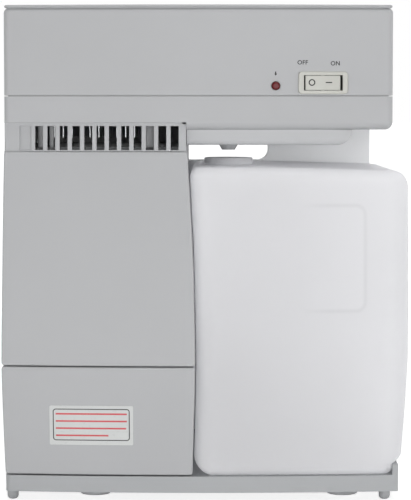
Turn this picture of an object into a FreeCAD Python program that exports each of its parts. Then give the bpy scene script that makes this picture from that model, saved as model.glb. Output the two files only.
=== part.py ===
import FreeCAD
import Part
import math
import os

"""A countertop water distiller.

A lidded head spans the top. Its left end stands on a column that holds two things which pull out
forwards: the raw water tank above and the boiling tray below. Steam from the tray rises behind the
tank to a finned condenser behind the front vents, a fan cools it, and the water drips through a
nozzle into the storage tank, which slides in on the right between head and base.

Frame, in millimetres: X to the right, Y to the back, Z up. The origin is on the floor, under the
middle of the whole object.
"""

V = FreeCAD.Vector
os.makedirs("parts", exist_ok=True)

# ---------------------------------------------------------------- driving dimensions
overall_width = 271.0      # left side of the column to the right side of the storage tank
overall_depth = 240.0      # fullest point of the front to the back of the mains inlet

foot_height = 6.5
base_height = 11.0
tray_front_height = 73.5
raw_front_height = 141.2
vent_strip_height = 14.3   # from the top of the column to the underside of the head
chassis_height = 22.1
cover_height = 57.5
lid_groove = 0.8
lid_plate = 1.5

wall = 2.5                 # moulded housing walls
thin_wall = 2.0            # tanks, tray and drip cover
steel = 1.0                # pressed steel sheet
seam = 0.8                 # gap between the pull-out fronts and what is next to them
lid_seam = 0.6             # gap between the head's two halves
running = 0.3              # clearance between parts that slide or seat
snug = 0.2                 # clearance of a piece in its own hole

head_setback = 15.0        # the head's face stands this far behind the fullest point of the front
inlet_flange = 2.0         # thickness of the mains inlet's flange, outside the rear cover
column_inset = 1.5         # the head's left side, in from the overall width
tank_overhang = 6.3        # the storage tank, out past the base on the right
base_overhang = 4.7        # the base, out past the head on the right
column_width = 121.2       # outside faces of the column's two side walls
service_depth = 20.5       # duct between the panel behind the storage tank and the rear cover

# ---------------------------------------------------------------- worked out from them
left_x = -overall_width / 2
right_x = overall_width / 2
front_y = -overall_depth / 2
back_y = overall_depth / 2 - inlet_flange

base_z = foot_height
base_top = base_z + base_height
tray_front_z = base_top + seam
tray_front_top = tray_front_z + tray_front_height
raw_front_z = tray_front_top + seam
raw_front_top = raw_front_z + raw_front_height
column_top = raw_front_top + running
head_z = column_top + vent_strip_height
chassis_top = head_z + chassis_height
cover_z = chassis_top + lid_seam
cover_top = cover_z + cover_height
lid_z = cover_top + lid_groove
lid_top = lid_z + lid_plate

head_left = left_x + column_inset
base_right = right_x - tank_overhang
head_right = base_right - base_overhang
head_front = front_y + head_setback
column_right = head_left + column_width
column_mid_x = (head_left + column_right) / 2
column_left = head_left + wall        # inner face of the column's left wall
bay_left = column_right - wall        # inner face of its right wall
cover_back_y = back_y - wall          # inner face of the rear cover
bay_back_y = cover_back_y - service_depth

# ---------------------------------------------------------------- the pull-out fronts
bow_radius = 1300.0        # the whole front is bowed in plan, fullest on the centre line
bow_spread = 2.5 * math.degrees(math.atan(overall_width / 2 / (bow_radius - overall_depth)))
fronts_back_y = front_y + 22.0   # flat backs of the two pull-out fronts
column_front_y = fronts_back_y + lid_seam
front_shell = 2.5
raw_front_top_y = front_y + 13.0   # the front's side profile, on the centre line
raw_front_mid_y = front_y + 4.4
seam_level_y = front_y
tray_front_mid_y = front_y + 3.0
tray_front_low_y = front_y + 10.5
front_corner = 3.0
# the right edge of the two fronts, seen from the front: it is fullest at the seam
edge_low_x = column_right + 4.1
edge_seam_x = column_right + 6.2
edge_mid_x = column_right + 4.8
edge_mid_z = raw_front_z + 70.4
edge_top_x = column_right + 0.8
edge_sweep = 900.0         # radius that blends one stretch of that edge into the next

# ---------------------------------------------------------------- column and shelf
shelf_z = tray_front_top + 0.2
bulkhead_y = bay_back_y - 11.0
rail_depth = 5.4           # bar across the column's front at its top
screw_boss = 8.0
screw_core = 3.1
screw_shank = 3.0
screw_head = 6.2
screw_head_height = 1.7
screw_length = 12.0
foot_screw_length = 9.0

# ---------------------------------------------------------------- head
head_corner = 4.0
head_low_edge = 5.0        # rounding of the head's lower front edge
cover_corner = 3.0
lid_inset = 0.4
groove_inset = 2.2
tongue_height = 1.6
vent_lean = 2.0            # the vent strip leans out this far over its height
vent_shoulder = 4.9        # the strip starts this far above the underside of the head
vent_count = 12
vent_width = 5.3
vent_margin = 5.0          # the last vent, in from the column's right side
vent_first_x = head_left + 20.7
vent_pitch = (column_right - vent_margin - vent_width - vent_first_x) / (vent_count - 1)
vent_low = 0.8
vent_height = 15.9
blind_x = head_left + 10.3
blind_width = 7.8
blind_depth = 1.7
louvre_count = 14
louvre_pitch = 7.0
louvre_width = 3.2
louvre_height = 30.0

# ---------------------------------------------------------------- drip cover and nozzle
drip_height = 10.2
drip_right = head_right - 27.2
drip_front_y = head_front + 7.0
drip_back_y = bay_back_y - 35.0
drip_corner = 9.8
drip_edge = 4.0
nozzle_x = column_right + 28.8
nozzle_y = front_y + 90.0
nozzle_flange = 14.0
nozzle_tip = 9.0
nozzle_stem = 11.0
nozzle_bore = 4.0
nozzle_drop = 4.4
nozzle_rise = 3.0

# ---------------------------------------------------------------- bay back panel and its hand slot
slot_right = column_right + 60.5
slot_height = 24.6         # below the underside of the head
slot_corner = 8.0

# ---------------------------------------------------------------- storage tank
tank_foot_step_x = base_right - 4.3
tank_foot_step_z = base_top + 7.7
tank_low_right = right_x - 3.9
tank_gap = 1.4             # between the fronts' curved edge and the tank, at its ends
tank_waist = 0.8           # more than that where the fronts' edge stands out
tank_back_y = bay_back_y - 7.0
tank_corner = 16.0
tank_back_corner = 14.0
tank_top_z = head_z - 24.9
tank_top_fall = 6.5        # the top falls this far from the neck to the right shoulder
tank_front_top_y = front_y + 10.0
tank_front_low_y = front_y + 9.0
tank_front_y = front_y + 1.0
tank_edge = 7.0
neck_radius = 14.25
neck_wall = 1.75
neck_height = 2.6
cap_radius = 16.8
cap_height = 4.6
cap_top_z = tank_top_z + 5.1
cap_top_wall = 1.4
funnel_radius = 6.0
pod_radius = 11.8
pod_length = 21.0
pod_wall = 1.2
grip_left = right_x - 64.7
grip_right = right_x - 19.5
grip_high = tank_top_z - 31.7
grip_low = grip_high - 80.3
grip_depth = 48.0
grip_corner = 9.0

# ---------------------------------------------------------------- raw water tank
raw_side_gap = 0.8
raw_back_y = bulkhead_y - 6.0
raw_top_gap = 2.1          # under the bar across the column
raw_corner = 6.0
filler_x = column_mid_x
filler_y = front_y + 70.0
well_radius = 31.0
well_depth = 13.5
filler_radius = 21.0
filler_wall = 2.5
filler_height = 10.0
raw_cap_radius = 25.0
raw_cap_height = 11.0
raw_cap_notches = 16
valve_x = column_right - 27.2
valve_z = raw_front_z + 13.4
valve_radius = 8.0
valve_bore = 5.5
valve_seat = 3.5
spigot_reach = 3.0         # the spigot, past the bulkhead
plunger_head = 4.6
plunger_stem = 2.4
solenoid_length = 14.0
spring_wire = 0.7
spring_turns = 4

# ---------------------------------------------------------------- boiling tray
tub_side_gap = 3.0
tub_floor_gap = 1.2
tub_back_y = bulkhead_y - 22.0
tub_top = tray_front_top - 22.8
pan_margin = 4.5
pan_rim = 1.6
pan_floor = base_top + 6.5
pan_corner = 12.0
hood_back_y = tub_back_y
hood_front_y = fronts_back_y + 6.0
hood_side_gap = 5.5
hood_top = shelf_z - 2.7
gasket = 1.2
heater_z = pan_floor + 12.0
heater_tube = 3.5
heater_runs = 4
heater_pitch = 16.0
heater_front_y = fronts_back_y + 28.0
heater_back_y = tub_back_y - 42.0
plug_depth = 9.0
plug_margin = 8.0
plug_corner = 3.0
prong_length = 8.0
prong_radius = 2.0
runner_z = base_top + 22.5
runner_height = 3.0
rail_height = 4.0
label_left = head_left + 30.4
label_right = label_left + 55.7
label_low = tray_front_z + 21.0
label_high = label_low + 26.8
label_thickness = 0.4
label_corner = 1.0

# ---------------------------------------------------------------- steam, condenser and fan
pipe_radius = 4.0
pipe_bore = 3.2
steam_z = hood_top - 8.3
riser_y = (bulkhead_y + wall + cover_back_y) / 2
condenser_z = column_top + 23.9
condenser_bend = 12.0
fan_x = column_mid_x
fan_y = head_front + 59.0
pass_count = 3
first_pass_y = fan_y + 20.0
pass_pitch = 24.0
pass_right = column_right - 9.2
pass_left = column_left + 13.5
coupling_y = first_pass_y + 56.0
coupling_length = 24.0
coupling_wall = 1.8
fin_count = 12
fin_first_x = pass_left + 16.0
fin_pitch = (pass_right - condenser_bend - 2.0 - fin_first_x) / (fin_count - 1)
fin_thickness = 0.6
fin_z = condenser_z - 15.0
fin_height = 27.0
fin_margin = 8.0
feed_radius = 4.0
feed_bore = 2.6
tab_thickness = 0.8
tab_width = 4.8
tab_pitch = 7.0
fan_plate = 96.0
fan_post_x = 36.0
fan_post_y = 41.0
fan_post = 3.0
fan_plate_z = fin_z + fin_height + 5.0
fan_radius = 43.0
fan_tip_gap = 2.0
fan_hub = 15.0
fan_blades = 7
fan_height = 13.0
blade_thickness = 1.6
blade_pitch = 32.0
shaft_radius = 2.0
shaft_clearance = 0.05
fan_arms = 3
motor_radius = 20.0
motor_height = 22.0
arm_width = 6.0

# ---------------------------------------------------------------- switch, lamp and electrics
switch_x = head_right - 46.7
switch_z = cover_z + 8.25
bezel_width = 33.0
bezel_height = 14.9
bezel_proud = 1.8
rocker_opening_x = 12.9    # half the opening
rocker_opening_z = 5.05
switch_wall = 1.1
rocker_half = 11.83
rocker_rise = 5.37
rocker_valley = 4.2
rocker_depth = 4.0         # the pivot, behind the bezel's face
rocker_tilt = 6.0          # each way from level
rocker_pin = 1.2
rocker_edge = 0.8
rocker_bend = 30.0
switch_body_depth = 17.0
terminal_spread = 7.0
terminal_width = 6.2
lamp_x = switch_x - 31.3
lamp_z = switch_z - 1.95
lamp_radius = 2.8
lamp_length = 11.0
lamp_proud = 0.9
board_x = column_right + 7.8
board_y = head_front + 115.0
board_width = 60.0
board_depth = 45.0
board_thickness = 1.6
board_stand = 9.4
part_gap = 5.5
transformer = (22.5, 19.0, 17.0)    # width, depth and height
relay = (19.0, 15.0, 15.5)
terminal_strip = (25.0, 8.0, 10.0)
capacitor_radius = 5.0
capacitor_height = 16.0
inlet_x = base_right - 37.2
inlet_z = base_top + 34.5
inlet_flange_width = 48.0
inlet_flange_height = 23.0
inlet_body_width = 27.6
inlet_body_height = 20.0
inlet_body_depth = 14.5
inlet_cavity_depth = 14.0
inlet_wall = 1.7
inlet_corner = 5.0
inlet_pin_spread = 7.0
inlet_pin_shift = 2.0
inlet_pin_thickness = 2.0
inlet_pin_width = 4.0
inlet_screw_pitch = 40.0
inlet_tab = 5.0            # the pins' tabs, behind the socket
inlet_recess = 6.0         # the pins' tips, below the socket's mouth
cable_radius = 3.2
cable_y = cover_back_y - 7.5

# ---------------------------------------------------------------- feet
corner_foot_radius = 3.8
corner_foot_left = left_x + 5.7
corner_foot_right = base_right - 8.7
corner_foot_front = front_y + 19.0
corner_foot_back = back_y - 12.0
pad_foot_radius = 10.75
pad_foot_left = head_left + 58.9
pad_foot_right = base_right - 35.8
pad_foot_front = front_y + 46.0
pad_foot_back = back_y - 38.0
pad_foot_edge = 1.5
rim_height = 7.0
rim_corner = 1.6
bottom_inset = 3.2
bottom_plate = 1.5


# ---------------------------------------------------------------- helpers
def box(x0, x1, y0, y1, z0, z1):
    """A block between two corners."""
    return Part.makeBox(x1 - x0, y1 - y0, z1 - z0, V(x0, y0, z0))


def rod(radius, start, end):
    """A cylinder from one point to another."""
    along = V(*end) - V(*start)
    return Part.makeCylinder(radius, along.Length, V(*start), along)


def ring(outer, inner, start, end):
    """A tube from one point to another."""
    return rod(outer, start, end).cut(rod(inner, start, end))


def place(axis, level, u, v):
    """A point of an outline drawn square to an axis, at a level along it."""
    if axis == "x":
        return V(level, u, v)
    if axis == "y":
        return V(u, level, v)
    return V(u, v, level)


def round_path(points, closed):
    """Lines and tangent arcs through points, each given as (point, radius of its corner)."""
    count = len(points)
    ends = []
    for i, (corner, radius) in enumerate(points):
        if radius <= 0 or (not closed and i in (0, count - 1)):
            ends.append((corner, None, corner))
            continue
        to_last = (points[i - 1][0] - corner).normalize()
        to_next = (points[(i + 1) % count][0] - corner).normalize()
        half = to_last.getAngle(to_next) / 2
        reach = radius / math.tan(half)
        middle = (to_last + to_next).normalize()
        crown = corner + middle * (radius / math.sin(half) - radius)
        ends.append((corner + to_last * reach, crown, corner + to_next * reach))
    edges = []
    for i, (start, crown, end) in enumerate(ends):
        if crown is not None:
            edges.append(Part.Arc(start, crown, end).toShape())
        if not closed and i == count - 1:
            break
        following = ends[(i + 1) % count][0]
        if (following - end).Length > 1e-6:
            edges.append(Part.LineSegment(end, following).toShape())
    return Part.Wire(edges)


def prism(corners, axis, low, high):
    """A block whose outline, square to an axis, has corners (u, v, radius)."""
    wire = round_path([(place(axis, low, c[0], c[1]), c[2] if len(c) > 2 else 0) for c in corners], True)
    return Part.Face(wire).extrude(place(axis, high, 0, 0) - place(axis, low, 0, 0))


def inset(corners, distance):
    """The outline moved inwards everywhere; its corners run anticlockwise."""
    moved = []
    for i, corner in enumerate(corners):
        radius = corner[2] if len(corner) > 2 else 0
        before = corners[i - 1]
        after = corners[(i + 1) % len(corners)]
        ax, ay = corner[0] - before[0], corner[1] - before[1]
        bx, by = after[0] - corner[0], after[1] - corner[1]
        a, b = math.hypot(ax, ay), math.hypot(bx, by)
        ax, ay, bx, by = ax / a, ay / a, bx / b, by / b
        turn = ax * by - ay * bx
        slide = distance * (1 - ax * bx - ay * by) / turn if abs(turn) > 1e-9 else 0
        x = corner[0] - ay * distance - ax * slide
        y = corner[1] + ax * distance - ay * slide
        radius = max(0.0, radius - distance) if turn > 0 else (radius + distance if radius else 0)
        moved.append((x, y, radius))
    return moved


def rectangle(u0, u1, v0, v1, radius=0):
    """Corners of a rectangle, anticlockwise, all with one radius."""
    return [(u0, v0, radius), (u1, v0, radius), (u1, v1, radius), (u0, v1, radius)]


def tube(points, radius, bore=0):
    """A round tube along a path of (x, y, z, corner radius)."""
    path = round_path([(V(*p[:3]), p[3] if len(p) > 3 else 0) for p in points], False)
    start = path.Edges[0].firstVertex().Point
    along = path.Edges[0].tangentAt(path.Edges[0].FirstParameter)
    if (start - V(*points[0][:3])).Length > 1e-6:
        start = V(*points[0][:3])
        along = V(*points[1][:3]) - start
    outside = sweep_circle(path, start, along, radius)
    return outside.cut(sweep_circle(path, start, along, bore)) if bore else outside


def sweep_circle(path, start, along, radius):
    """A solid swept by a circle along a path."""
    circle = Part.Wire([Part.Circle(start, along, radius).toShape()])
    return path.makePipeShell([circle], True, False)


def bowed(profile):
    """A solid turned about the bow's upright axis from its side profile, drawn at the centre line."""
    return bow_face(Part.Face(profile))


def bow_face(face):
    """The same, of a face that lies in the middle plane."""
    axis = V(0, front_y + bow_radius, 0)
    face.rotate(axis, V(0, 0, 1), -bow_spread / 2)
    return face.revolve(axis, V(0, 0, 1), bow_spread)


def profile(front_points, deep_y):
    """A side profile: an arc through three front points (y, z), closed far behind."""
    low, mid, high = (V(0, y, z) for y, z in front_points)
    arc = Part.Arc(low, mid, high).toShape()
    back_low, back_high = V(0, deep_y, low.z), V(0, deep_y, high.z)
    return Part.Wire([
        arc,
        Part.LineSegment(high, back_high).toShape(),
        Part.LineSegment(back_high, back_low).toShape(),
        Part.LineSegment(back_low, low).toShape(),
    ])


def together(*solids):
    """Several solids joined into one."""
    whole = solids[0].fuse(list(solids[1:])) if len(solids) > 1 else solids[0]
    return whole.removeSplitter()


def turned(solid, count, centre, axis=V(0, 0, 1)):
    """Copies of a solid, evenly spaced round an axis."""
    copies = []
    for i in range(count):
        copy = solid.copy()
        copy.rotate(V(*centre), axis, 360.0 * i / count)
        copies.append(copy)
    return copies


def save(name, *solids):
    """Writes one node, of one or more separate solids."""
    loose = [s for solid in solids for s in solid.Solids]
    for s in loose:
        if not s.isValid() or s.Volume <= 0:
            raise ValueError(name + " has a bad solid")
    shape = loose[0] if len(loose) == 1 else Part.makeCompound(loose)
    shape.exportStep("parts/" + name + ".step")
    print(name, len(loose), round(shape.Volume, 1))


def screw(x, y, z, direction, length=screw_length):
    """A pan head screw: its head stands on the point, and its shank goes the given way."""
    way = V(*direction)
    point = V(x, y, z)
    head = Part.makeCylinder(screw_head / 2, screw_head_height, point - way * screw_head_height, way)
    shank = Part.makeCylinder(screw_shank / 2, length, point, way)
    slot = Part.makeCylinder(screw_head / 5, screw_head_height / 2, point - way * screw_head_height, way)
    return together(head, shank).cut(slot)


def bow_y(centre_y, x):
    """Depth at x of an upright surface bowed like the front, which is at centre_y on the centre line."""
    reach = front_y + bow_radius - centre_y
    return front_y + bow_radius - math.sqrt(reach ** 2 - x ** 2)


def bowed_block(x0, x1, centre_y, y1, z0, z1, left=0, right=0, back=0):
    """A block with a bowed front, and rounded upright corners."""
    middle = (x0 + x1) / 2
    start, end = V(x0, bow_y(centre_y, x0), z0), V(x1, bow_y(centre_y, x1), z0)
    edges = [
        Part.Arc(start, V(middle, bow_y(centre_y, middle), z0), end).toShape(),
        Part.LineSegment(end, V(x1, y1, z0)).toShape(),
        Part.LineSegment(V(x1, y1, z0), V(x0, y1, z0)).toShape(),
        Part.LineSegment(V(x0, y1, z0), start).toShape(),
    ]
    block = Part.Face(Part.Wire(edges)).extrude(V(0, 0, z1 - z0))
    for x, y, radius in ((x0, start.y, left), (x1, end.y, right), (x0, y1, back), (x1, y1, back)):
        if radius > 0:
            block = block.makeFillet(radius, upright_edges(block, x, y))
    return block


def upright_edges(solid, x, y):
    """The upright edges of a solid that stand on one point of its plan."""
    return [
        edge for edge in solid.Edges
        if all(math.hypot(v.Point.x - x, v.Point.y - y) < 0.01 for v in edge.Vertexes)
    ]


def level_edges(solid, z):
    """The edges of a solid that lie at one height."""
    return [edge for edge in solid.Edges if all(abs(v.Point.z - z) < 0.01 for v in edge.Vertexes)]


def on_face(solid, x, z):
    """Moves a solid made at the origin, facing -Y, to its place on the head's bowed face."""
    moved = solid.copy()
    slope = math.degrees(math.asin(x / (front_y + bow_radius - head_front)))
    moved.rotate(V(0, 0, 0), V(0, 0, 1), slope)
    moved.translate(V(x, bow_y(head_front, x), z))
    return moved


# ---------------------------------------------------------------- places that several pieces share
seam_z = (tray_front_top + raw_front_z) / 2
slot_z = head_z - slot_height
steam_x = pass_left
last_pass_y = first_pass_y - (pass_count - 1) * pass_pitch
well_floor = column_top + wall
head_floor = head_z + wall
rear_cover_top = head_z - lid_seam
tank_floor = base_top + running
rim_left = tank_foot_step_x + running
hood_left = column_left + hood_side_gap
hood_right = bay_left - hood_side_gap
hood_rim = tub_top + running + gasket
harness_x = inlet_x - inlet_body_width / 4
runner_reach = tub_side_gap - running   # how far runners and rails stand out into the tray's side gap


def right_edge(gap, waist=0):
    """The curve between the fronts and the storage tank, from the bottom up, moved to the right by a gap.

    The waist is more room at the two middle points, where the fronts' edge stands out.
    """
    return [
        (edge_low_x + gap, tray_front_z, 0),
        (edge_seam_x + gap + waist, seam_z, edge_sweep),
        (edge_mid_x + gap + waist, edge_mid_z, edge_sweep),
        (edge_top_x + gap, raw_front_top, 0),
    ]


# ---------------------------------------------------------------- base and feet
def corner_feet_places():
    """Plan places of the four pegs at the base's corners."""
    return [(x, y) for x in (corner_foot_left, corner_foot_right)
            for y in (bow_y(corner_foot_front, x), corner_foot_back)]


def pad_feet_places():
    """Plan places of the four round pads."""
    return [(x, y) for x in (pad_foot_left, pad_foot_right) for y in (pad_foot_front, pad_foot_back)]


def cover_bolt_places():
    """Places (x, z) of the rear cover's screws."""
    inside = screw_boss / 2 - snug
    low, high = base_top + 2 * screw_boss, column_top - 2 * screw_boss
    left, right = column_left + inside, head_right - wall - inside
    return [(left, low), (left, high), (right, low), (right, high)]


def column_bolt_places():
    """Plan places of the screws that hold the head down on the column."""
    inside = screw_boss / 2 - snug
    return [(x, bulkhead_y + screw_boss) for x in (column_left + inside, bay_left - inside)]


def make_base():
    """The moulded floor, with an upstand along its right side."""
    block = bowed_block(head_left, base_right, tray_front_low_y, cover_back_y, base_z, base_top,
                        head_corner, rim_corner)
    upstand = bowed_block(rim_left, base_right, tray_front_low_y, cover_back_y, base_top,
                          base_top + rim_height, 0, rim_corner)
    hollow = bowed_block(head_left + wall, base_right - wall, tray_front_low_y + wall,
                         cover_back_y - wall, base_z, base_top - wall, head_corner - wall)
    posts = [rod(corner_foot_radius + snug, (x, y, base_z), (x, y, base_top - wall))
             for x, y in corner_feet_places()]
    bosses = [rod(screw_boss / 2, (x, y, base_z + bottom_plate), (x, y, base_top - wall))
              for x, y in pad_feet_places()]
    base = together(block.cut(hollow), upstand, *posts, *bosses)
    deep = base_z - pad_foot_edge + foot_screw_length + snug
    holes = [rod(screw_core / 2, (x, y, base_z), (x, y, deep)) for x, y in pad_feet_places()]
    return base.cut(holes)


def make_bottom_cover():
    """The plate that closes the base from below, notched round the corner pegs."""
    plate = bowed_block(head_left + bottom_inset, base_right - bottom_inset, tray_front_low_y + bottom_inset,
                        cover_back_y - bottom_inset, base_z, base_z + bottom_plate)
    notches = [rod(corner_foot_radius + 2 * snug + running, (x, y, base_z), (x, y, base_z + bottom_plate))
               for x, y in corner_feet_places()]
    holes = [rod(screw_core / 2, (x, y, base_z), (x, y, base_z + bottom_plate)) for x, y in pad_feet_places()]
    return plate.cut(notches + holes)


def make_corner_feet():
    """Domed pegs under the base's corners."""
    feet = []
    for x, y in corner_feet_places():
        peg = rod(corner_foot_radius, (x, y, 0), (x, y, base_z))
        feet.append(peg.makeFillet(corner_foot_radius * 0.7, level_edges(peg, 0)))
    return feet


def make_pad_feet():
    """Round rubber pads, each with a recess for the head of its screw."""
    feet = []
    for x, y in pad_feet_places():
        pad = rod(pad_foot_radius, (x, y, 0), (x, y, base_z))
        pad = pad.makeFillet(pad_foot_edge, level_edges(pad, 0))
        recess = rod(screw_head / 2 + snug, (x, y, 0), (x, y, base_z - pad_foot_edge))
        bore = rod(screw_core / 2, (x, y, 0), (x, y, base_z))
        feet.append(pad.cut([recess, bore]))
    return feet


save("base", make_base())
save("bottom_cover", make_bottom_cover())
save("corner_feet", *make_corner_feet())
save("pad_feet", *make_pad_feet())


# ---------------------------------------------------------------- column, back panel and rear cover
feed_socket_radius = valve_radius + 2 * snug
heater_span = (heater_runs - 1) * heater_pitch
heater_first_x = column_mid_x - heater_span / 2
socket_half = heater_span / 2 + plug_margin


def make_column():
    """Side walls, bulkhead, shelf between the two bays, bar under the head, and the tray's rails."""
    left = box(head_left, column_left, column_front_y, cover_back_y, base_top, column_top)
    right = box(bay_left, column_right, column_front_y, cover_back_y, base_top, column_top)
    shelf = box(column_left, bay_left, column_front_y, bulkhead_y, shelf_z, shelf_z + wall)
    bulkhead = box(column_left, bay_left, bulkhead_y, bulkhead_y + wall, base_top, column_top)
    bar = box(column_left, bay_left, column_front_y, column_front_y + rail_depth, column_top - wall, column_top)
    bosses = [rod(screw_boss / 2, (x, y, column_top - 2 * screw_length), (x, y, column_top))
              for x, y in column_bolt_places()]
    x, z = cover_bolt_places()[0]
    for level in (z, cover_bolt_places()[1][1]):
        bosses.append(rod(screw_boss / 2, (x, cover_back_y - 1.5 * screw_length, level), (x, cover_back_y, level)))
    rails = []
    for x in (column_left, bay_left - runner_reach):
        rails.append(box(x, x + runner_reach, column_front_y + 2 * thin_wall, tub_back_y,
                         runner_z - running - rail_height, runner_z - running))
    column = together(left, right, shelf, bulkhead, bar, *bosses, *rails)
    deep = screw_length
    holes = [rod(screw_core / 2, (x, y, column_top - deep), (x, y, column_top)) for x, y in column_bolt_places()]
    holes += [rod(screw_core / 2, (x, cover_back_y - deep, z), (x, cover_back_y, z))
              for x, z in cover_bolt_places()[:2]]
    through = (bulkhead_y, bulkhead_y + wall)
    for x, z, radius in ((valve_x, valve_z, feed_socket_radius + snug), (steam_x, steam_z, pipe_radius + snug),
                         (valve_x, steam_z, feed_radius + snug)):
        holes.append(rod(radius, (x, through[0], z), (x, through[1], z)))
    return column.cut(holes)


def slot_outline(grow):
    """The hand slot, seen from the front: its left and top sides are the column and the head."""
    return [
        (column_right - screw_boss, slot_z - grow, 0),
        (slot_right + grow, slot_z - grow, slot_corner + grow),
        (slot_right + grow, head_z + screw_boss, 0),
        (column_right - screw_boss, head_z + screw_boss, 0),
    ]


def make_back_panel():
    """The wall behind the storage tank, its return on the right, and the collar of the hand slot."""
    left = column_right + running
    panel = box(left, head_right, bay_back_y, bay_back_y + wall, base_top, head_z)
    side = box(head_right - wall, head_right, bay_back_y, cover_back_y, base_top, head_z)
    collar = prism(slot_outline(wall), "y", bay_back_y, cover_back_y)
    collar = collar.common(box(left, head_right, bay_back_y, cover_back_y, base_top, head_z))
    bosses = []
    for x, z in cover_bolt_places()[2:]:
        bosses.append(rod(screw_boss / 2, (x, bay_back_y + wall, z), (x, cover_back_y, z)))
    panel = together(panel, side, collar, *bosses)
    holes = [rod(screw_core / 2, (x, cover_back_y - screw_length, z), (x, cover_back_y, z))
             for x, z in cover_bolt_places()[2:]]
    return panel.cut([prism(slot_outline(0), "y", bay_back_y, cover_back_y)] + holes)


def make_rear_cover():
    """The plate that closes the column and the duct from behind."""
    plate = prism(rectangle(head_left, head_right, base_z, rear_cover_top), "y", cover_back_y, back_y)
    plate = plate.cut(box(head_left, column_right + lid_seam, cover_back_y, back_y, column_top - lid_seam, head_z))
    slot = prism(slot_outline(0), "y", cover_back_y, back_y)
    slot = slot.common(box(column_right, head_right, cover_back_y, back_y, base_top, head_z))
    half, tall = inlet_body_width / 2 + snug, inlet_body_height / 2 + snug
    socket = box(inlet_x - half, inlet_x + half, cover_back_y, back_y, inlet_z - tall, inlet_z + tall)
    holes = [rod(screw_core / 2, (x, cover_back_y, z), (x, back_y, z)) for x, z in cover_bolt_places()]
    holes += [rod(screw_core / 2, (x, cover_back_y, inlet_z), (x, back_y, inlet_z)) for x in inlet_screw_places()]
    return plate.cut([slot, socket] + holes)


def inlet_screw_places():
    """The two screws beside the mains inlet."""
    return [inlet_x - inlet_screw_pitch / 2, inlet_x + inlet_screw_pitch / 2]


def make_housing_screws():
    """The screws of the feet, of the rear cover and of the head on the column."""
    feet = [screw(x, y, base_z - pad_foot_edge, (0, 0, 1), foot_screw_length) for x, y in pad_feet_places()]
    cover = [screw(x, back_y, z, (0, -1, 0)) for x, z in cover_bolt_places()]
    column = [screw(x, y, well_floor, (0, 0, -1)) for x, y in column_bolt_places()]
    return feet + cover + column


save("column_shell", make_column())
save("back_panel", make_back_panel())
save("rear_cover", make_rear_cover())
save("housing_screws", *make_housing_screws())


# ---------------------------------------------------------------- head
strip_top = head_z + vent_shoulder
fins_front = last_pass_y - fin_margin
fins_back = first_pass_y + fin_margin
switch_half = rocker_opening_x + switch_wall
switch_tall = rocker_opening_z + switch_wall


def strip_wedge(shift):
    """Everything behind the leaning vent strip, moved back by a shift."""
    near, far = head_front + seam + shift, head_front + seam + vent_lean + shift
    low, high = column_top - wall, strip_top + wall
    slope = (far - near) / (strip_top - column_top)
    points = [V(0, near - slope * wall, low), V(0, far + slope * wall, high), V(0, back_y, high), V(0, back_y, low)]
    return bowed(Part.makePolygon(points + [points[0]]))


def fan_posts():
    """Plan places of the fan's four posts."""
    return [(fan_x + a * fan_post_x, fan_y + b * fan_post_y) for a in (-1, 1) for b in (-1, 1)]


def board_posts():
    """Plan places of the control board's four stands."""
    edge = screw_boss / 2
    return [(board_x + u, board_y + v) for u in (edge, board_width - edge) for v in (edge, board_depth - edge)]


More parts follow.
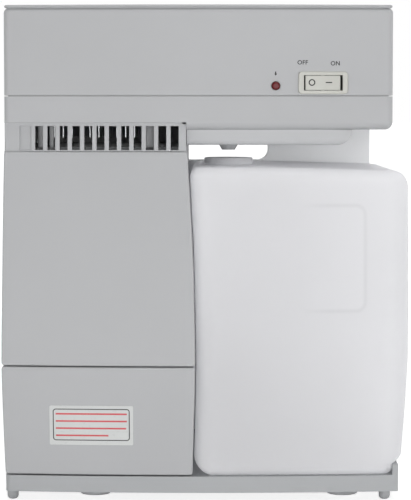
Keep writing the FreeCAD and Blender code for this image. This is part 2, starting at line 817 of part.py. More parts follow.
def make_chassis():
    """The head's lower half: a tray over the bay, and a deeper well over the column with the vents."""
    block = bowed_block(head_left, head_right, head_front, back_y, column_top, chassis_top,
                        head_corner, head_corner)
    block = block.cut(box(column_right, right_x, front_y, back_y + wall, column_top, head_z))
    low_edges = [e for e in level_edges(block, head_z)
                 if e.BoundBox.XMax > column_right + 1 and e.BoundBox.YMin < back_y - 1]
    block = block.makeFillet(head_low_edge, low_edges)
    ahead = box(left_x, column_right, front_y, 0, column_top, strip_top).cut(strip_wedge(0))
    block = block.cut(ahead)
    edge = wall + snug
    tongue = bowed_block(head_left + edge, head_right - edge, head_front + edge, back_y - edge, chassis_top,
                         chassis_top + tongue_height, head_corner - wall, head_corner - wall)
    shell = together(block, tongue)

    hollow = bowed_block(head_left + wall, head_right - wall, head_front + wall, back_y - wall, head_floor,
                         chassis_top - wall, head_corner - wall, head_corner - wall)
    low_edges = [e for e in level_edges(hollow, head_floor) if e.BoundBox.XMax > 0 and e.BoundBox.YMin < 0]
    hollow = hollow.makeFillet(head_low_edge - wall, low_edges)
    hollow = hollow.cut(box(left_x, column_right - wall, front_y, back_y, head_floor, strip_top + wall))
    pit = bowed_block(head_left + wall, column_right - wall, head_front + wall, back_y - wall, well_floor,
                      strip_top + wall, head_corner - wall)
    mouth = bowed_block(head_left + 2 * wall, head_right - 2 * wall, head_front + 2 * wall, back_y - 2 * wall,
                        chassis_top - 2 * wall, chassis_top + tongue_height)
    shell = shell.cut([hollow, pit.common(strip_wedge(wall)), mouth])

    slots = []
    for i in range(vent_count):
        x = vent_first_x + i * vent_pitch
        slots.append(box(x, x + vent_width, front_y, fins_front - seam, column_top + vent_low,
                         column_top + vent_low + vent_height))
    blind = strip_wedge(-blind_depth).cut(strip_wedge(blind_depth))
    blind = blind.common(box(blind_x, blind_x + blind_width, front_y, 0, column_top + vent_low,
                             column_top + vent_low + vent_height))
    shell = shell.cut(slots + [blind])

    posts = [rod(fan_post, (x, y, well_floor), (x, y, fan_plate_z)) for x, y in fan_posts()]
    stands = [rod(screw_boss / 2 - seam, (x, y, head_floor), (x, y, head_floor + board_stand))
              for x, y in board_posts()]
    shell = together(shell, *posts, *stands)

    holes = [rod(screw_core / 2, (x, y, column_top), (x, y, well_floor)) for x, y in column_bolt_places()]
    holes.append(rod(pipe_radius + snug, (steam_x, riser_y, column_top), (steam_x, riser_y, well_floor)))
    holes.append(rod(cable_radius + snug, (harness_x, cable_y, head_z), (harness_x, cable_y, head_floor)))
    holes.append(rod(nozzle_stem / 2 + snug, (nozzle_x, nozzle_y, head_z), (nozzle_x, nozzle_y, head_floor)))
    return shell.cut(holes)


def make_head_cover():
    """The head's upper half, with the switch, the lamp and the intake louvres."""
    block = bowed_block(head_left, head_right, head_front, back_y, cover_z, cover_top, head_corner, head_corner)
    block = block.makeFillet(cover_corner, level_edges(block, cover_top))
    hollow = bowed_block(head_left + wall, head_right - wall, head_front + wall, back_y - wall, cover_z,
                         cover_top - wall, head_corner - wall, head_corner - wall)
    cover = block.cut(hollow)
    half, tall = switch_half + snug, switch_tall + snug
    cuts = [on_face(box(-half, half, -wall, 3 * wall, -tall, tall), switch_x, switch_z)]
    cuts.append(on_face(rod(lamp_radius + snug, (0, -wall, 0), (0, 3 * wall, 0)), lamp_x, lamp_z))
    middle_z = (cover_z + cover_top) / 2
    for i in range(louvre_count):
        x = fan_x + (i - (louvre_count - 1) / 2) * louvre_pitch
        cuts.append(box(x - louvre_width / 2, x + louvre_width / 2, back_y - 2 * wall, back_y,
                        middle_z - louvre_height / 2, middle_z + louvre_height / 2))
    return cover.cut(cuts)


def make_lid_plate():
    """The flat plate on top of the head, on a step that leaves a shadow groove."""
    plate = bowed_block(head_left + lid_inset, head_right - lid_inset, head_front + lid_inset,
                        back_y - lid_inset, lid_z, lid_top, head_corner - lid_inset, head_corner - lid_inset)
    plate = plate.makeFillet(lid_plate * 0.6, level_edges(plate, lid_top))
    step = bowed_block(head_left + groove_inset, head_right - groove_inset, head_front + groove_inset,
                       back_y - groove_inset, cover_top, lid_z)
    return together(plate, step)


def make_drip_cover():
    """The shallow cover under the head that carries the nozzle."""
    left, low = column_right + running, head_z - drip_height
    outline = [(left, low, 0), (drip_right, low, drip_corner), (drip_right, head_z, 0), (left, head_z, 0)]
    block = prism(outline, "y", drip_front_y, drip_back_y)
    side = [(drip_front_y, low, drip_edge), (drip_back_y, low, 0), (drip_back_y, head_z, 0), (drip_front_y, head_z, 0)]
    block = block.common(prism(side, "x", left, drip_right))
    inner = prism(inset(outline, thin_wall), "y", drip_front_y + thin_wall, drip_back_y - thin_wall)
    inner = inner.common(prism(inset(side, thin_wall), "x", left, drip_right))
    opening = inner.copy()
    opening.translate(V(0, 0, thin_wall))
    hole = rod(nozzle_stem / 2 + snug, (nozzle_x, nozzle_y, low), (nozzle_x, nozzle_y, head_z))
    return block.cut([inner, opening, hole])


def make_nozzle():
    """The nozzle: a tapered tip, a shoulder under the cover and a stem up into the head."""
    low = head_z - drip_height
    tip = Part.makeCone(nozzle_tip / 2, nozzle_flange / 2, nozzle_drop, V(nozzle_x, nozzle_y, low - nozzle_drop))
    stem = rod(nozzle_stem / 2, (nozzle_x, nozzle_y, low), (nozzle_x, nozzle_y, head_z + nozzle_rise))
    seat_z = head_z - thin_wall - nozzle_rise
    bore = rod(nozzle_bore / 2, (nozzle_x, nozzle_y, low - nozzle_drop), (nozzle_x, nozzle_y, seat_z))
    cup = rod(pipe_radius + snug / 2, (nozzle_x, nozzle_y, seat_z), (nozzle_x, nozzle_y, head_z + nozzle_rise))
    return together(tip, stem).cut([bore, cup])


save("head_chassis", make_chassis())
save("head_cover", make_head_cover())
save("lid_plate", make_lid_plate())
save("drip_cover", make_drip_cover())
save("drip_nozzle", make_nozzle())


# ---------------------------------------------------------------- the pull-out fronts
def side_profile(low, middle, high, shift=0.0):
    """A solid behind a bowed front whose side profile is an arc through three (y, z) points."""
    points = [(y + shift, z) for y, z in (low, middle, high)]
    return bowed(profile(points, 0))


def raw_front_mass(shift=0.0):
    """Everything behind the upper front's outer surface, moved back by a shift."""
    middle = (raw_front_mid_y, (raw_front_z + raw_front_top) / 2)
    return side_profile((seam_level_y, raw_front_z), middle, (raw_front_top_y, raw_front_top), shift)


def tray_front_mass(shift=0.0):
    """Everything behind the lower front's outer surface, moved back by a shift."""
    middle = (tray_front_mid_y, (tray_front_z + tray_front_top) / 2)
    return side_profile((tray_front_low_y, tray_front_z), middle, (seam_level_y, tray_front_top), shift)


def fronts_outline():
    """The outline of both fronts together, seen from the front."""
    edge = right_edge(0)
    low, high = edge[0], edge[-1]
    return [
        (head_left, tray_front_z, front_corner),
        (low[0], low[1], front_corner),
        edge[1],
        edge[2],
        (high[0], high[1], front_corner),
        (head_left, raw_front_top, front_corner),
        (left_x, seam_z, edge_sweep),
    ]


def make_front(mass, low, high):
    """A hollow front: its outer shell, open at the back."""
    span = (front_y - front_shell, fronts_back_y)
    shell = prism(fronts_outline(), "y", *span).common(mass(0))
    inner = prism(inset(fronts_outline(), front_shell), "y", *span).common(mass(front_shell))
    band = box(left_x, right_x, *span, low, high)
    hollow = box(left_x, right_x, *span, low + front_shell, high - front_shell)
    return shell.common(band).cut(inner.common(hollow))


def make_label():
    """A blank sticker that follows the lower front."""
    outline = rectangle(label_left, label_right, label_low, label_high, label_corner)
    film = prism(outline, "y", front_y - front_shell, fronts_back_y)
    return film.common(tray_front_mass(-label_thickness)).cut(tray_front_mass(0))


save("raw_tank_front", make_front(raw_front_mass, raw_front_z, raw_front_top))
save("tray_front", make_front(tray_front_mass, tray_front_z, tray_front_top))
save("label", make_label())


# ---------------------------------------------------------------- raw water tank
raw_left = column_left + raw_side_gap
raw_right = bay_left - raw_side_gap
raw_floor = shelf_z + wall + running
raw_top = column_top - wall - raw_top_gap
well_z = raw_top - well_depth
spigot_end = bulkhead_y + wall + spigot_reach
spigot_radius = valve_radius - wall / 2
valve_flange = thin_wall


def make_raw_tank():
    """A closed box with a filler in a well on its top and a hole for the valve at its back."""
    outer = prism(rectangle(raw_left, raw_right, fronts_back_y, raw_back_y, raw_corner), "z", raw_floor, raw_top)
    inner = prism(inset(rectangle(raw_left, raw_right, fronts_back_y, raw_back_y, raw_corner), thin_wall), "z",
                  raw_floor + thin_wall, raw_top - thin_wall)
    well = rod(well_radius, (filler_x, filler_y, well_z), (filler_x, filler_y, raw_top))
    cup = rod(well_radius + thin_wall, (filler_x, filler_y, well_z - thin_wall), (filler_x, filler_y, raw_top))
    tank = outer.cut([inner.cut(cup), well])
    neck = rod(filler_radius, (filler_x, filler_y, well_z), (filler_x, filler_y, well_z + filler_height))
    tank = together(tank, neck)
    mouth = rod(filler_radius - filler_wall, (filler_x, filler_y, well_z - thin_wall),
                (filler_x, filler_y, well_z + filler_height))
    valve_hole = rod(spigot_radius, (valve_x, raw_back_y - thin_wall, valve_z), (valve_x, raw_back_y, valve_z))
    return tank.cut([mouth, valve_hole])


def make_raw_cap():
    """The filler cap, with finger notches round its rim."""
    low = well_z + seam
    cap = rod(raw_cap_radius, (filler_x, filler_y, low), (filler_x, filler_y, low + raw_cap_height))
    cap = cap.makeFillet(thin_wall * 0.6, level_edges(cap, low + raw_cap_height))
    hollow = rod(filler_radius + running, (filler_x, filler_y, low),
                 (filler_x, filler_y, well_z + filler_height + gasket))
    notch = rod(thin_wall * 0.9, (filler_x + raw_cap_radius + seam, filler_y, low),
                (filler_x + raw_cap_radius + seam, filler_y, low + raw_cap_height))
    return cap.cut([hollow] + turned(notch, raw_cap_notches, (filler_x, filler_y, 0)))


def make_raw_cap_seal():
    """The flat ring between the filler's mouth and its cap."""
    low = well_z + filler_height
    return ring(filler_radius, filler_radius - filler_wall, (filler_x, filler_y, low),
                (filler_x, filler_y, low + gasket))


def make_valve_body():
    """The raw tank's outlet: a flange on its back and a spigot that enters the feed socket."""
    flange = rod(valve_radius + wall, (valve_x, raw_back_y, valve_z), (valve_x, raw_back_y + valve_flange, valve_z))
    spigot = rod(spigot_radius, (valve_x, raw_back_y, valve_z), (valve_x, spigot_end, valve_z))
    bore = rod(valve_bore, (valve_x, raw_back_y, valve_z), (valve_x, spigot_end - thin_wall, valve_z))
    seat = rod(valve_seat, (valve_x, raw_back_y, valve_z), (valve_x, spigot_end, valve_z))
    return together(flange, spigot).cut([bore, seat])


plunger_seat_y = spigot_end - thin_wall - snug


def make_plunger():
    """The valve's plunger: a head that closes the spigot from inside, and a stem through its seat."""
    head = rod(plunger_head, (valve_x, plunger_seat_y - thin_wall, valve_z), (valve_x, plunger_seat_y, valve_z))
    stem = rod(plunger_stem, (valve_x, plunger_seat_y - thin_wall, valve_z), (valve_x, spigot_end + thin_wall, valve_z))
    guide = rod(plunger_stem / 2, (valve_x, raw_back_y - thin_wall / 2, valve_z), (valve_x, plunger_seat_y, valve_z))
    return together(head, stem, guide)


def make_spring():
    """The coil spring behind the plunger's head."""
    low, high = raw_back_y + snug, plunger_seat_y - thin_wall - spring_wire / 2 - snug / 4
    radius = plunger_stem / 2 + spring_wire / 2 + running * 2
    helix = Part.makeHelix((high - low - spring_wire / 2) / spring_turns, high - low - spring_wire / 2, radius)
    start = V(radius, 0, 0)
    circle = Part.Wire([Part.Circle(start, V(0, 1, 0), spring_wire / 2).toShape()])
    coil = Part.Wire(helix.Edges).makePipeShell([circle], True, True)
    coil.rotate(V(0, 0, 0), V(1, 0, 0), -90)
    coil.translate(V(valve_x, low + spring_wire / 2, valve_z))
    return coil


def make_valve_spider():
    """The perforated washer that guides the plunger's tail and carries the spring."""
    start, end = (valve_x, raw_back_y - thin_wall, valve_z), (valve_x, raw_back_y, valve_z)
    disc = rod(spigot_radius, start, end)
    bore = rod(plunger_stem / 2 + shaft_clearance * 2, start, end)
    port = rod(spring_wire * 1.4, (valve_x + valve_seat + spring_wire, start[1], valve_z),
               (valve_x + valve_seat + spring_wire, end[1], valve_z))
    return disc.cut([bore] + turned(port, 6, (valve_x, 0, valve_z), V(0, 1, 0)))


save("raw_tank", make_raw_tank())
save("raw_tank_cap", make_raw_cap())
save("raw_cap_seal", make_raw_cap_seal())
save("valve_body", make_valve_body())
save("valve_spider", make_valve_spider())
save("valve_plunger", make_plunger())
save("valve_spring", make_spring())


# ---------------------------------------------------------------- feed to the boiling tray
feed_end = spigot_end + 3 * thin_wall
solenoid_y = feed_end + thin_wall
spout_y = feed_end - feed_radius - snug
spout_end = valve_z - feed_socket_radius - 2 * wall


def make_feed_socket():
    """The cup in the bulkhead that takes the spigot and drains down into the feed tube."""
    start = bulkhead_y
    shell = rod(feed_socket_radius, (valve_x, start, valve_z), (valve_x, feed_end, valve_z))
    collar = rod(feed_socket_radius + wall, (valve_x, start + wall, valve_z), (valve_x, feed_end, valve_z))
    spout = rod(feed_radius, (valve_x, spout_y, valve_z), (valve_x, spout_y, spout_end))
    cup = rod(spigot_radius + running, (valve_x, start, valve_z), (valve_x, feed_end - thin_wall, valve_z))
    drain = rod(feed_bore, (valve_x, spout_y, valve_z), (valve_x, spout_y, spout_end))
    pin = rod(plunger_stem / 2 + snug, (valve_x, start, valve_z), (valve_x, feed_end, valve_z))
    return together(shell, collar, spout).cut([cup, drain, pin])


def make_feed_tube():
    """The silicone tube from the feed socket down and forward over the boiling pan."""
    bend = spout_y - bulkhead_y - wall - snug
    return tube([(valve_x, spout_y, spout_end), (valve_x, spout_y, steam_z, bend),
                 (valve_x, hood_back_y - 2 * feed_radius, steam_z)], feed_radius, feed_bore)


def make_solenoid():
    """The solenoid behind the feed socket, with its bracket on the socket's collar."""
    end = solenoid_y + solenoid_length
    body = rod(valve_radius, (valve_x, solenoid_y, valve_z), (valve_x, end, valve_z))
    foot = ring(feed_socket_radius + wall, plunger_stem + snug, (valve_x, feed_end, valve_z),
                (valve_x, solenoid_y, valve_z))
    bore = rod(plunger_stem / 2 + shaft_clearance, (valve_x, solenoid_y, valve_z), (valve_x, end, valve_z))
    return together(body, foot).cut(bore)


def make_solenoid_pin():
    """The solenoid's pin, whose tip stands just behind the plunger's stem."""
    tip = spigot_end + thin_wall + running
    return rod(plunger_stem / 2, (valve_x, tip, valve_z), (valve_x, solenoid_y + solenoid_length, valve_z))


save("feed_socket", make_feed_socket())
save("feed_tube", make_feed_tube())
save("feed_solenoid", make_solenoid())
save("solenoid_pin", make_solenoid_pin())


# ---------------------------------------------------------------- boiling tray
tub_left = column_left + tub_side_gap
tub_right = bay_left - tub_side_gap
tub_floor = base_top + tub_floor_gap
tub_rim = tub_top - pan_rim
heater_ends = [heater_first_x, heater_first_x + heater_span]


def heater_holes(start, end, clearance):
    """Clearance bores for the heater's two ends, through whatever stands between two depths."""
    return [rod(heater_tube + clearance, (x, start, heater_z), (x, end, heater_z)) for x in heater_ends]


def make_tub():
    """The tray's plastic body, with a runner along each side."""
    outer = box(tub_left, tub_right, fronts_back_y, tub_back_y, tub_floor, tub_rim)
    inner = box(tub_left + thin_wall, tub_right - thin_wall, fronts_back_y + thin_wall, tub_back_y - thin_wall,
                tub_floor + thin_wall, tub_rim)
    near, far = fronts_back_y + 2 * thin_wall, tub_back_y
    left = box(tub_left - runner_reach, tub_left, near, far, runner_z, runner_z + runner_height)
    right = box(tub_right, tub_right + runner_reach, near, far, runner_z, runner_z + runner_height)
    tub = together(outer.cut(inner), left, right)
    return tub.cut(heater_holes(tub_back_y - thin_wall, tub_back_y, snug))


def pan_outline():
    """The pan's inside, seen from above."""
    return rectangle(tub_left + pan_margin + steel, tub_right - pan_margin - steel,
                     fronts_back_y + pan_margin + steel, tub_back_y - pan_margin - steel, pan_corner)


def make_pan():
    """The stainless pan, hung by its rim on the tub."""
    outside = prism(inset(pan_outline(), -steel), "z", pan_floor, tub_top)
    rim = prism(rectangle(tub_left, tub_right, fronts_back_y + thin_wall, tub_back_y, pan_corner / 2), "z",
                tub_rim, tub_top)
    inside = prism(pan_outline(), "z", pan_floor + steel, tub_top)
    lip = prism(inset(pan_outline(), -steel), "z", pan_floor, tub_rim + steel)
    pan = together(outside.cut(inside), rim.cut(lip).cut(inside))
    under = prism(rectangle(tub_left + thin_wall, tub_right - thin_wall, fronts_back_y + 2 * thin_wall,
                            tub_back_y - thin_wall, pan_corner / 3), "z", tub_rim, tub_top - steel)
    pan = pan.cut(under.cut(outside))
    return pan.cut(heater_holes(tub_back_y - 2 * pan_margin, tub_back_y, snug / 2))


def make_heater():
    """The heater: four runs of tube with half round bends between them."""
    z, near, far = heater_z, heater_front_y, heater_back_y
    x = [heater_first_x + i * heater_pitch for i in range(heater_runs)]
    bend = heater_pitch / 2
    rear = tub_back_y
    return tube([
        (x[0], rear, z), (x[0], near, z, bend), (x[1], near, z, bend), (x[1], far, z, bend),
        (x[2], far, z, bend), (x[2], near, z, bend), (x[3], near, z, bend), (x[3], rear, z),
    ], heater_tube)


def make_heater_plug():
    """The insulating block on the tray's back that takes the heater's two ends."""
    block = prism(rectangle(column_mid_x - socket_half, column_mid_x + socket_half, heater_z - screw_boss,
                            heater_z + screw_boss, plug_corner), "y", tub_back_y, tub_back_y + plug_depth)
    bores = [rod(prong_radius, (x, tub_back_y, heater_z), (x, tub_back_y + plug_depth, heater_z))
             for x in heater_ends]
    return block.cut(bores)


def make_prongs():
    """The two prongs of the tray's plug."""
    end = tub_back_y + plug_depth + prong_length
    prongs = []
    for x in heater_ends:
        prong = rod(prong_radius, (x, tub_back_y, heater_z), (x, end, heater_z))
        tip = [e for e in prong.Edges if e.BoundBox.YMin > end - 0.01]
        prongs.append(prong.makeFillet(prong_radius * 0.6, tip))
    return prongs


def make_heater_socket():
    """The socket on the bulkhead that the prongs push into."""
    start = tub_back_y + plug_depth + running
    block = prism(rectangle(column_mid_x - socket_half, column_mid_x + socket_half, heater_z - screw_boss,
                            heater_z + screw_boss, plug_corner), "y", start, bulkhead_y)
    bores = [rod(prong_radius + running, (x, start, heater_z), (x, start + prong_length + seam, heater_z))
             for x in heater_ends]
    return block.cut(bores)


save("tray_tub", make_tub())
save("boiling_pan", make_pan())
save("heater", make_heater())
save("heater_plug", make_heater_plug())
save("heater_prongs", *make_prongs())
save("heater_socket", make_heater_socket())


# ---------------------------------------------------------------- steam hood, pipe and condenser
def make_hood():
    """The stainless hood under the shelf, open below, with a flange over the pan's rim."""
    outline = rectangle(hood_left, hood_right, hood_front_y, hood_back_y, pan_corner / 2)
    skin = prism(outline, "z", hood_rim, hood_top)
    hollow = prism(inset(outline, steel), "z", hood_rim, hood_top - steel)
    ears = [
        box(x - screw_boss, x + screw_boss, y - screw_boss / 2, y + screw_boss / 2, hood_top - seam, shelf_z)
        for x in (hood_left + 4 * screw_boss, hood_right - 4 * screw_boss)
        for y in (hood_front_y + 3 * screw_boss, hood_back_y - 3 * screw_boss)
    ]
    hood = together(skin.cut(hollow), *ears)
    holes = [rod(radius + snug / 2, (x, hood_back_y - 2 * steel - snug, steam_z), (x, hood_back_y, steam_z))
             for x, radius in ((steam_x, pipe_radius), (valve_x, feed_radius))]
    return hood.cut(holes)


def make_hood_gasket():
    """The silicone ring on the hood's lower edge."""
    outline = rectangle(hood_left - steel, hood_right + steel, hood_front_y - steel, hood_back_y + steel,
                        pan_corner / 2)
    low = tub_top + running
    return prism(outline, "z", low, hood_rim).cut(prism(inset(outline, 3 * steel), "z", low, hood_rim))


def make_steam_pipe():
    """The pipe from the hood back through the bulkhead, up the duct and forward into the head."""
    return tube([
        (steam_x, hood_back_y - 2 * pipe_radius, steam_z), (steam_x, riser_y, steam_z, condenser_bend),
        (steam_x, riser_y, condenser_z, condenser_bend), (steam_x, coupling_y, condenser_z),
    ], pipe_radius, pipe_bore)


def make_coupling():
    """The silicone sleeve that joins the steam pipe to the condenser."""
    half = coupling_length / 2
    return ring(pipe_radius + coupling_wall, pipe_radius, (steam_x, coupling_y - half, condenser_z),
                (steam_x, coupling_y + half, condenser_z))


def make_condenser():
    """Three passes of stainless tube under the fan, then across and down into the nozzle."""
    z, bend = condenser_z, condenser_bend
    y = [first_pass_y - i * pass_pitch for i in range(pass_count)]
    drop = pipe_radius * 1.5
    return tube([
        (steam_x, coupling_y, z), (steam_x, y[0], z, bend), (pass_right, y[0], z, bend),
        (pass_right, y[1], z, bend), (pass_left, y[1], z, bend), (pass_left, y[2], z, bend),
        (nozzle_x, y[2], z, bend), (nozzle_x, nozzle_y, z, drop), (nozzle_x, nozzle_y, head_z - thin_wall),
    ], pipe_radius, pipe_bore)


def make_fins():
    """The condenser's fins, with a hole for each pass."""
    y = [first_pass_y - i * pass_pitch for i in range(pass_count)]
    fins = []
    for i in range(fin_count):
        x = fin_first_x + i * fin_pitch
        fin = box(x, x + fin_thickness, fins_front, fins_back, fin_z, fin_z + fin_height)
        fins.append(fin.cut([rod(pipe_radius, (x, level, condenser_z), (x + fin_thickness, level, condenser_z))
                             for level in y]))
    return fins


def make_coil_clamp():
    """The saddle that holds the condenser down on the well's floor."""
    x = fin_first_x - wall - running
    clamp = box(x, x + wall, fins_front, fins_back, well_floor, condenser_z + pipe_radius + wall)
    holes = [rod(pipe_radius + snug / 2, (x, first_pass_y - i * pass_pitch, condenser_z),
                 (x + wall, first_pass_y - i * pass_pitch, condenser_z)) for i in range(pass_count)]
    return clamp.cut(holes)


def make_thermostat():
    """The boil-dry cut-out on the hood's back wall."""
    x = column_mid_x
    plate = rod(screw_boss, (x, hood_back_y, steam_z), (x, hood_back_y + steel, steam_z))
    body = rod(screw_boss * 0.8, (x, hood_back_y, steam_z), (x, hood_back_y + screw_boss, steam_z))
    thin, tall = tab_thickness / 2, tab_width / 2
    tabs = [box(place - thin, place + thin, hood_back_y + screw_boss, hood_back_y + 2 * screw_boss,
                steam_z - tall, steam_z + tall) for place in (x - tab_pitch / 2, x + tab_pitch / 2)]
    return together(plate, body, *tabs)


save("steam_hood", make_hood())
save("hood_gasket", make_hood_gasket())
save("steam_pipe", make_steam_pipe())
save("steam_coupling", make_coupling())
save("condenser_tube", make_condenser())
save("condenser_fins", *make_fins())
save("condenser_clamp", make_coil_clamp())
save("thermostat", make_thermostat())


# ---------------------------------------------------------------- storage tank
tank_right_top = tank_top_z - tank_top_fall


def tank_outline():
    """The tank seen from the front, anticlockwise from its lower left corner."""
    edge = right_edge(tank_gap, tank_waist)
    return [
        (edge[0][0], tank_floor, tank_edge),
        (tank_foot_step_x, tank_floor, wall),
        (tank_foot_step_x, tank_foot_step_z, 0),
        (tank_low_right, tank_foot_step_z, tank_edge),
        (right_x, seam_z, 3 * tank_corner),
        (right_x, tank_right_top, tank_corner),
        (nozzle_x + 2 * neck_radius, tank_top_z, 3 * tank_corner),
        (edge[-1][0], tank_top_z, tank_edge),
        edge[2],
        edge[1],
    ]


def tank_mass(thickness):
    """The tank's outer solid, or its inside when a wall thickness is given."""
    shape = prism(inset(tank_outline(), thickness), "y", front_y - thickness, tank_back_y - thickness)
    edge = right_edge(tank_gap)
    plan = bowed_block(edge[-1][0] + thickness, right_x - thickness, tank_front_y + thickness,
                       tank_back_y - thickness, tank_floor, tank_top_z, tank_corner - thickness,
                       tank_corner - thickness, tank_back_corner - thickness)
    return shape.common(plan).common(tank_side(thickness))


def tank_side(thickness):
    """Everything behind the tank's front, whose side profile is an arc with rounded ends."""
    low, high = tank_floor + thickness, tank_top_z - thickness
    front = [V(0, y + thickness, z) for y, z in
             ((tank_front_low_y, tank_floor), (tank_front_y, seam_z), (tank_front_top_y, tank_top_z))]
    arc = Part.Arc(*front).toShape()
    bottom = box(-1, 1, front_y * 2, back_y, low - overall_depth, low)
    top = box(-1, 1, front_y * 2, back_y, high, high + overall_depth)
    deep = back_y
    slab = Part.Face(Part.Wire([
        arc,
        Part.LineSegment(front[2], V(0, deep, tank_top_z)).toShape(),
        Part.LineSegment(V(0, deep, tank_top_z), V(0, deep, tank_floor)).toShape(),
        Part.LineSegment(V(0, deep, tank_floor), front[0]).toShape(),
    ])).extrude(V(1, 0, 0)).cut([bottom, top])
    radius = tank_edge - thickness
    corners = [e for z in (low, high) for e in level_edges(slab, z)
               if e.BoundBox.YMax < 0 and e.BoundBox.XLength > 0.5]
    slab = slab.makeFillet(radius, corners)
    return bow_face([f for f in slab.Faces if f.BoundBox.XMax < 0.01][0])


def grip_prism(grow):
    """The grip recess in the tank's back, grown by a wall for the inside of the tank."""
    outline = rectangle(grip_left - grow, grip_right + grow, grip_low - grow, grip_high + grow, grip_corner + grow)
    return prism(outline, "y", tank_back_y - grip_depth - grow, tank_back_y + thin_wall)


def make_storage_tank():
    """The translucent tank: a thin shell with a grip recess behind and a neck on top."""
    outer = tank_mass(0).cut(grip_prism(0))
    inner = tank_mass(thin_wall).cut(grip_prism(thin_wall))
    low = tank_top_z - neck_wall
    neck = rod(neck_radius, (nozzle_x, nozzle_y, low), (nozzle_x, nozzle_y, tank_top_z + neck_height))
    mouth = rod(neck_radius - neck_wall, (nozzle_x, nozzle_y, low - thin_wall),
                (nozzle_x, nozzle_y, tank_top_z + neck_height))
    return together(outer.cut(inner), neck).cut(mouth)


cap_low_z = cap_top_z - cap_height
cap_inner_z = cap_top_z - cap_top_wall


def make_storage_cap():
    """The tank's round cap, with a dished drip hole in its middle."""
    cap = rod(cap_radius, (nozzle_x, nozzle_y, cap_low_z), (nozzle_x, nozzle_y, cap_top_z))
    cap = cap.makeFillet(cap_top_wall * 0.6, level_edges(cap, cap_top_z))
    hollow = rod(neck_radius + running, (nozzle_x, nozzle_y, cap_low_z), (nozzle_x, nozzle_y, cap_inner_z))
    hole = rod(funnel_radius, (nozzle_x, nozzle_y, cap_low_z), (nozzle_x, nozzle_y, cap_top_z))
    dish = Part.makeCone(funnel_radius, funnel_radius + cap_top_wall * 0.8, cap_top_wall * 0.8,
                         V(nozzle_x, nozzle_y, cap_top_z - cap_top_wall * 0.8))
    return cap.cut([hollow, hole, dish])


pod_rim_low = tank_top_z + neck_height


def make_filter_pod():
    """The carbon filter's cup: a rim on the neck, a tube down inside it and a pierced floor."""
    middle = (nozzle_x, nozzle_y)
    top = cap_inner_z - snug
    rim = rod(neck_radius - neck_wall / 2, (*middle, pod_rim_low), (*middle, top))
    cup = rod(pod_radius, (*middle, pod_rim_low - pod_length), (*middle, top))
    hollow = rod(pod_radius - pod_wall, (*middle, pod_rim_low - pod_length + pod_wall), (*middle, top))
    port = rod(pod_wall, (nozzle_x + pod_radius / 2, nozzle_y, pod_rim_low - pod_length),
               (nozzle_x + pod_radius / 2, nozzle_y, pod_rim_low))
    return together(rim, cup).cut([hollow] + turned(port, 8, (*middle, 0)))


def make_filter_carbon():
    """The charcoal bag in the filter's cup."""
    low = pod_rim_low - pod_length + pod_wall
    bag = rod(pod_radius - pod_wall, (nozzle_x, nozzle_y, low), (nozzle_x, nozzle_y, pod_rim_low - 2 * cap_height))
    return bag.makeFillet(pod_wall, level_edges(bag, pod_rim_low - 2 * cap_height))


save("storage_tank", make_storage_tank())
save("storage_cap", make_storage_cap())
save("filter_cup", make_filter_pod())
save("filter_carbon", make_filter_carbon())


# ---------------------------------------------------------------- fan
shroud_inner = fan_radius + fan_tip_gap
rotor_low = fan_plate_z + thin_wall + seam
shroud_top = rotor_low + fan_height + seam
motor_z = shroud_top + thin_wall


def make_fan_frame():
    """A square plate on four posts, a round shroud, and three arms to the motor's seat."""
    half = fan_plate / 2
    low, top = fan_plate_z, motor_z
    plate = prism(rectangle(fan_x - half, fan_x + half, fan_y - half, fan_y + half, screw_boss), "z",
                  low, low + thin_wall)
    wall_ring = rod(shroud_inner + thin_wall, (fan_x, fan_y, low), (fan_x, fan_y, top))
    bore = rod(shroud_inner, (fan_x, fan_y, low), (fan_x, fan_y, top))
    arm = box(fan_x, fan_x + shroud_inner + thin_wall / 2, fan_y - arm_width / 2, fan_y + arm_width / 2,
              shroud_top, top)
    seat = rod(motor_radius, (fan_x, fan_y, shroud_top), (fan_x, fan_y, top))
    frame = together(together(plate, wall_ring).cut(bore), seat, *turned(arm, fan_arms, (fan_x, fan_y, 0)))
    return frame.cut(rod(shaft_radius + snug, (fan_x, fan_y, shroud_top), (fan_x, fan_y, top)))


def make_fan_rotor():
    """The hub and its pitched blades."""
    low, top = rotor_low, rotor_low + fan_height
    hub = rod(fan_hub, (0, 0, low), (0, 0, top))
    chord = (fan_height - 2 * blade_thickness) / math.sin(math.radians(blade_pitch))
    blade = box(fan_hub - thin_wall, fan_radius, -chord / 2, chord / 2, -blade_thickness / 2, blade_thickness / 2)
    blade.rotate(V(0, 0, 0), V(1, 0, 0), blade_pitch)
    blade.translate(V(0, 0, (low + top) / 2))
    blade = blade.common(rod(fan_radius, (0, 0, low), (0, 0, top)))
    rotor = together(hub, *turned(blade, fan_blades, (0, 0, 0)))
    hollow = rod(fan_hub - thin_wall, (0, 0, low), (0, 0, top - thin_wall))
    sleeve = rod(shaft_radius + thin_wall, (0, 0, low + thin_wall), (0, 0, top))
    rotor = together(rotor.cut(hollow), sleeve).cut(rod(shaft_radius, (0, 0, low), (0, 0, top)))
    rotor.translate(V(fan_x, fan_y, 0))
    return rotor


def make_fan_shaft():
    """The shaft, pressed into the rotor and running in the motor."""
    return rod(shaft_radius, (fan_x, fan_y, rotor_low + thin_wall), (fan_x, fan_y, motor_z + motor_height - wall))


def make_fan_motor():
    """The motor's can, with a bore for the shaft."""
    can = rod(motor_radius, (fan_x, fan_y, motor_z), (fan_x, fan_y, motor_z + motor_height))
    can = can.makeFillet(thin_wall, level_edges(can, motor_z + motor_height))
    return can.cut(rod(shaft_radius + shaft_clearance, (fan_x, fan_y, motor_z),
                       (fan_x, fan_y, motor_z + motor_height - thin_wall)))


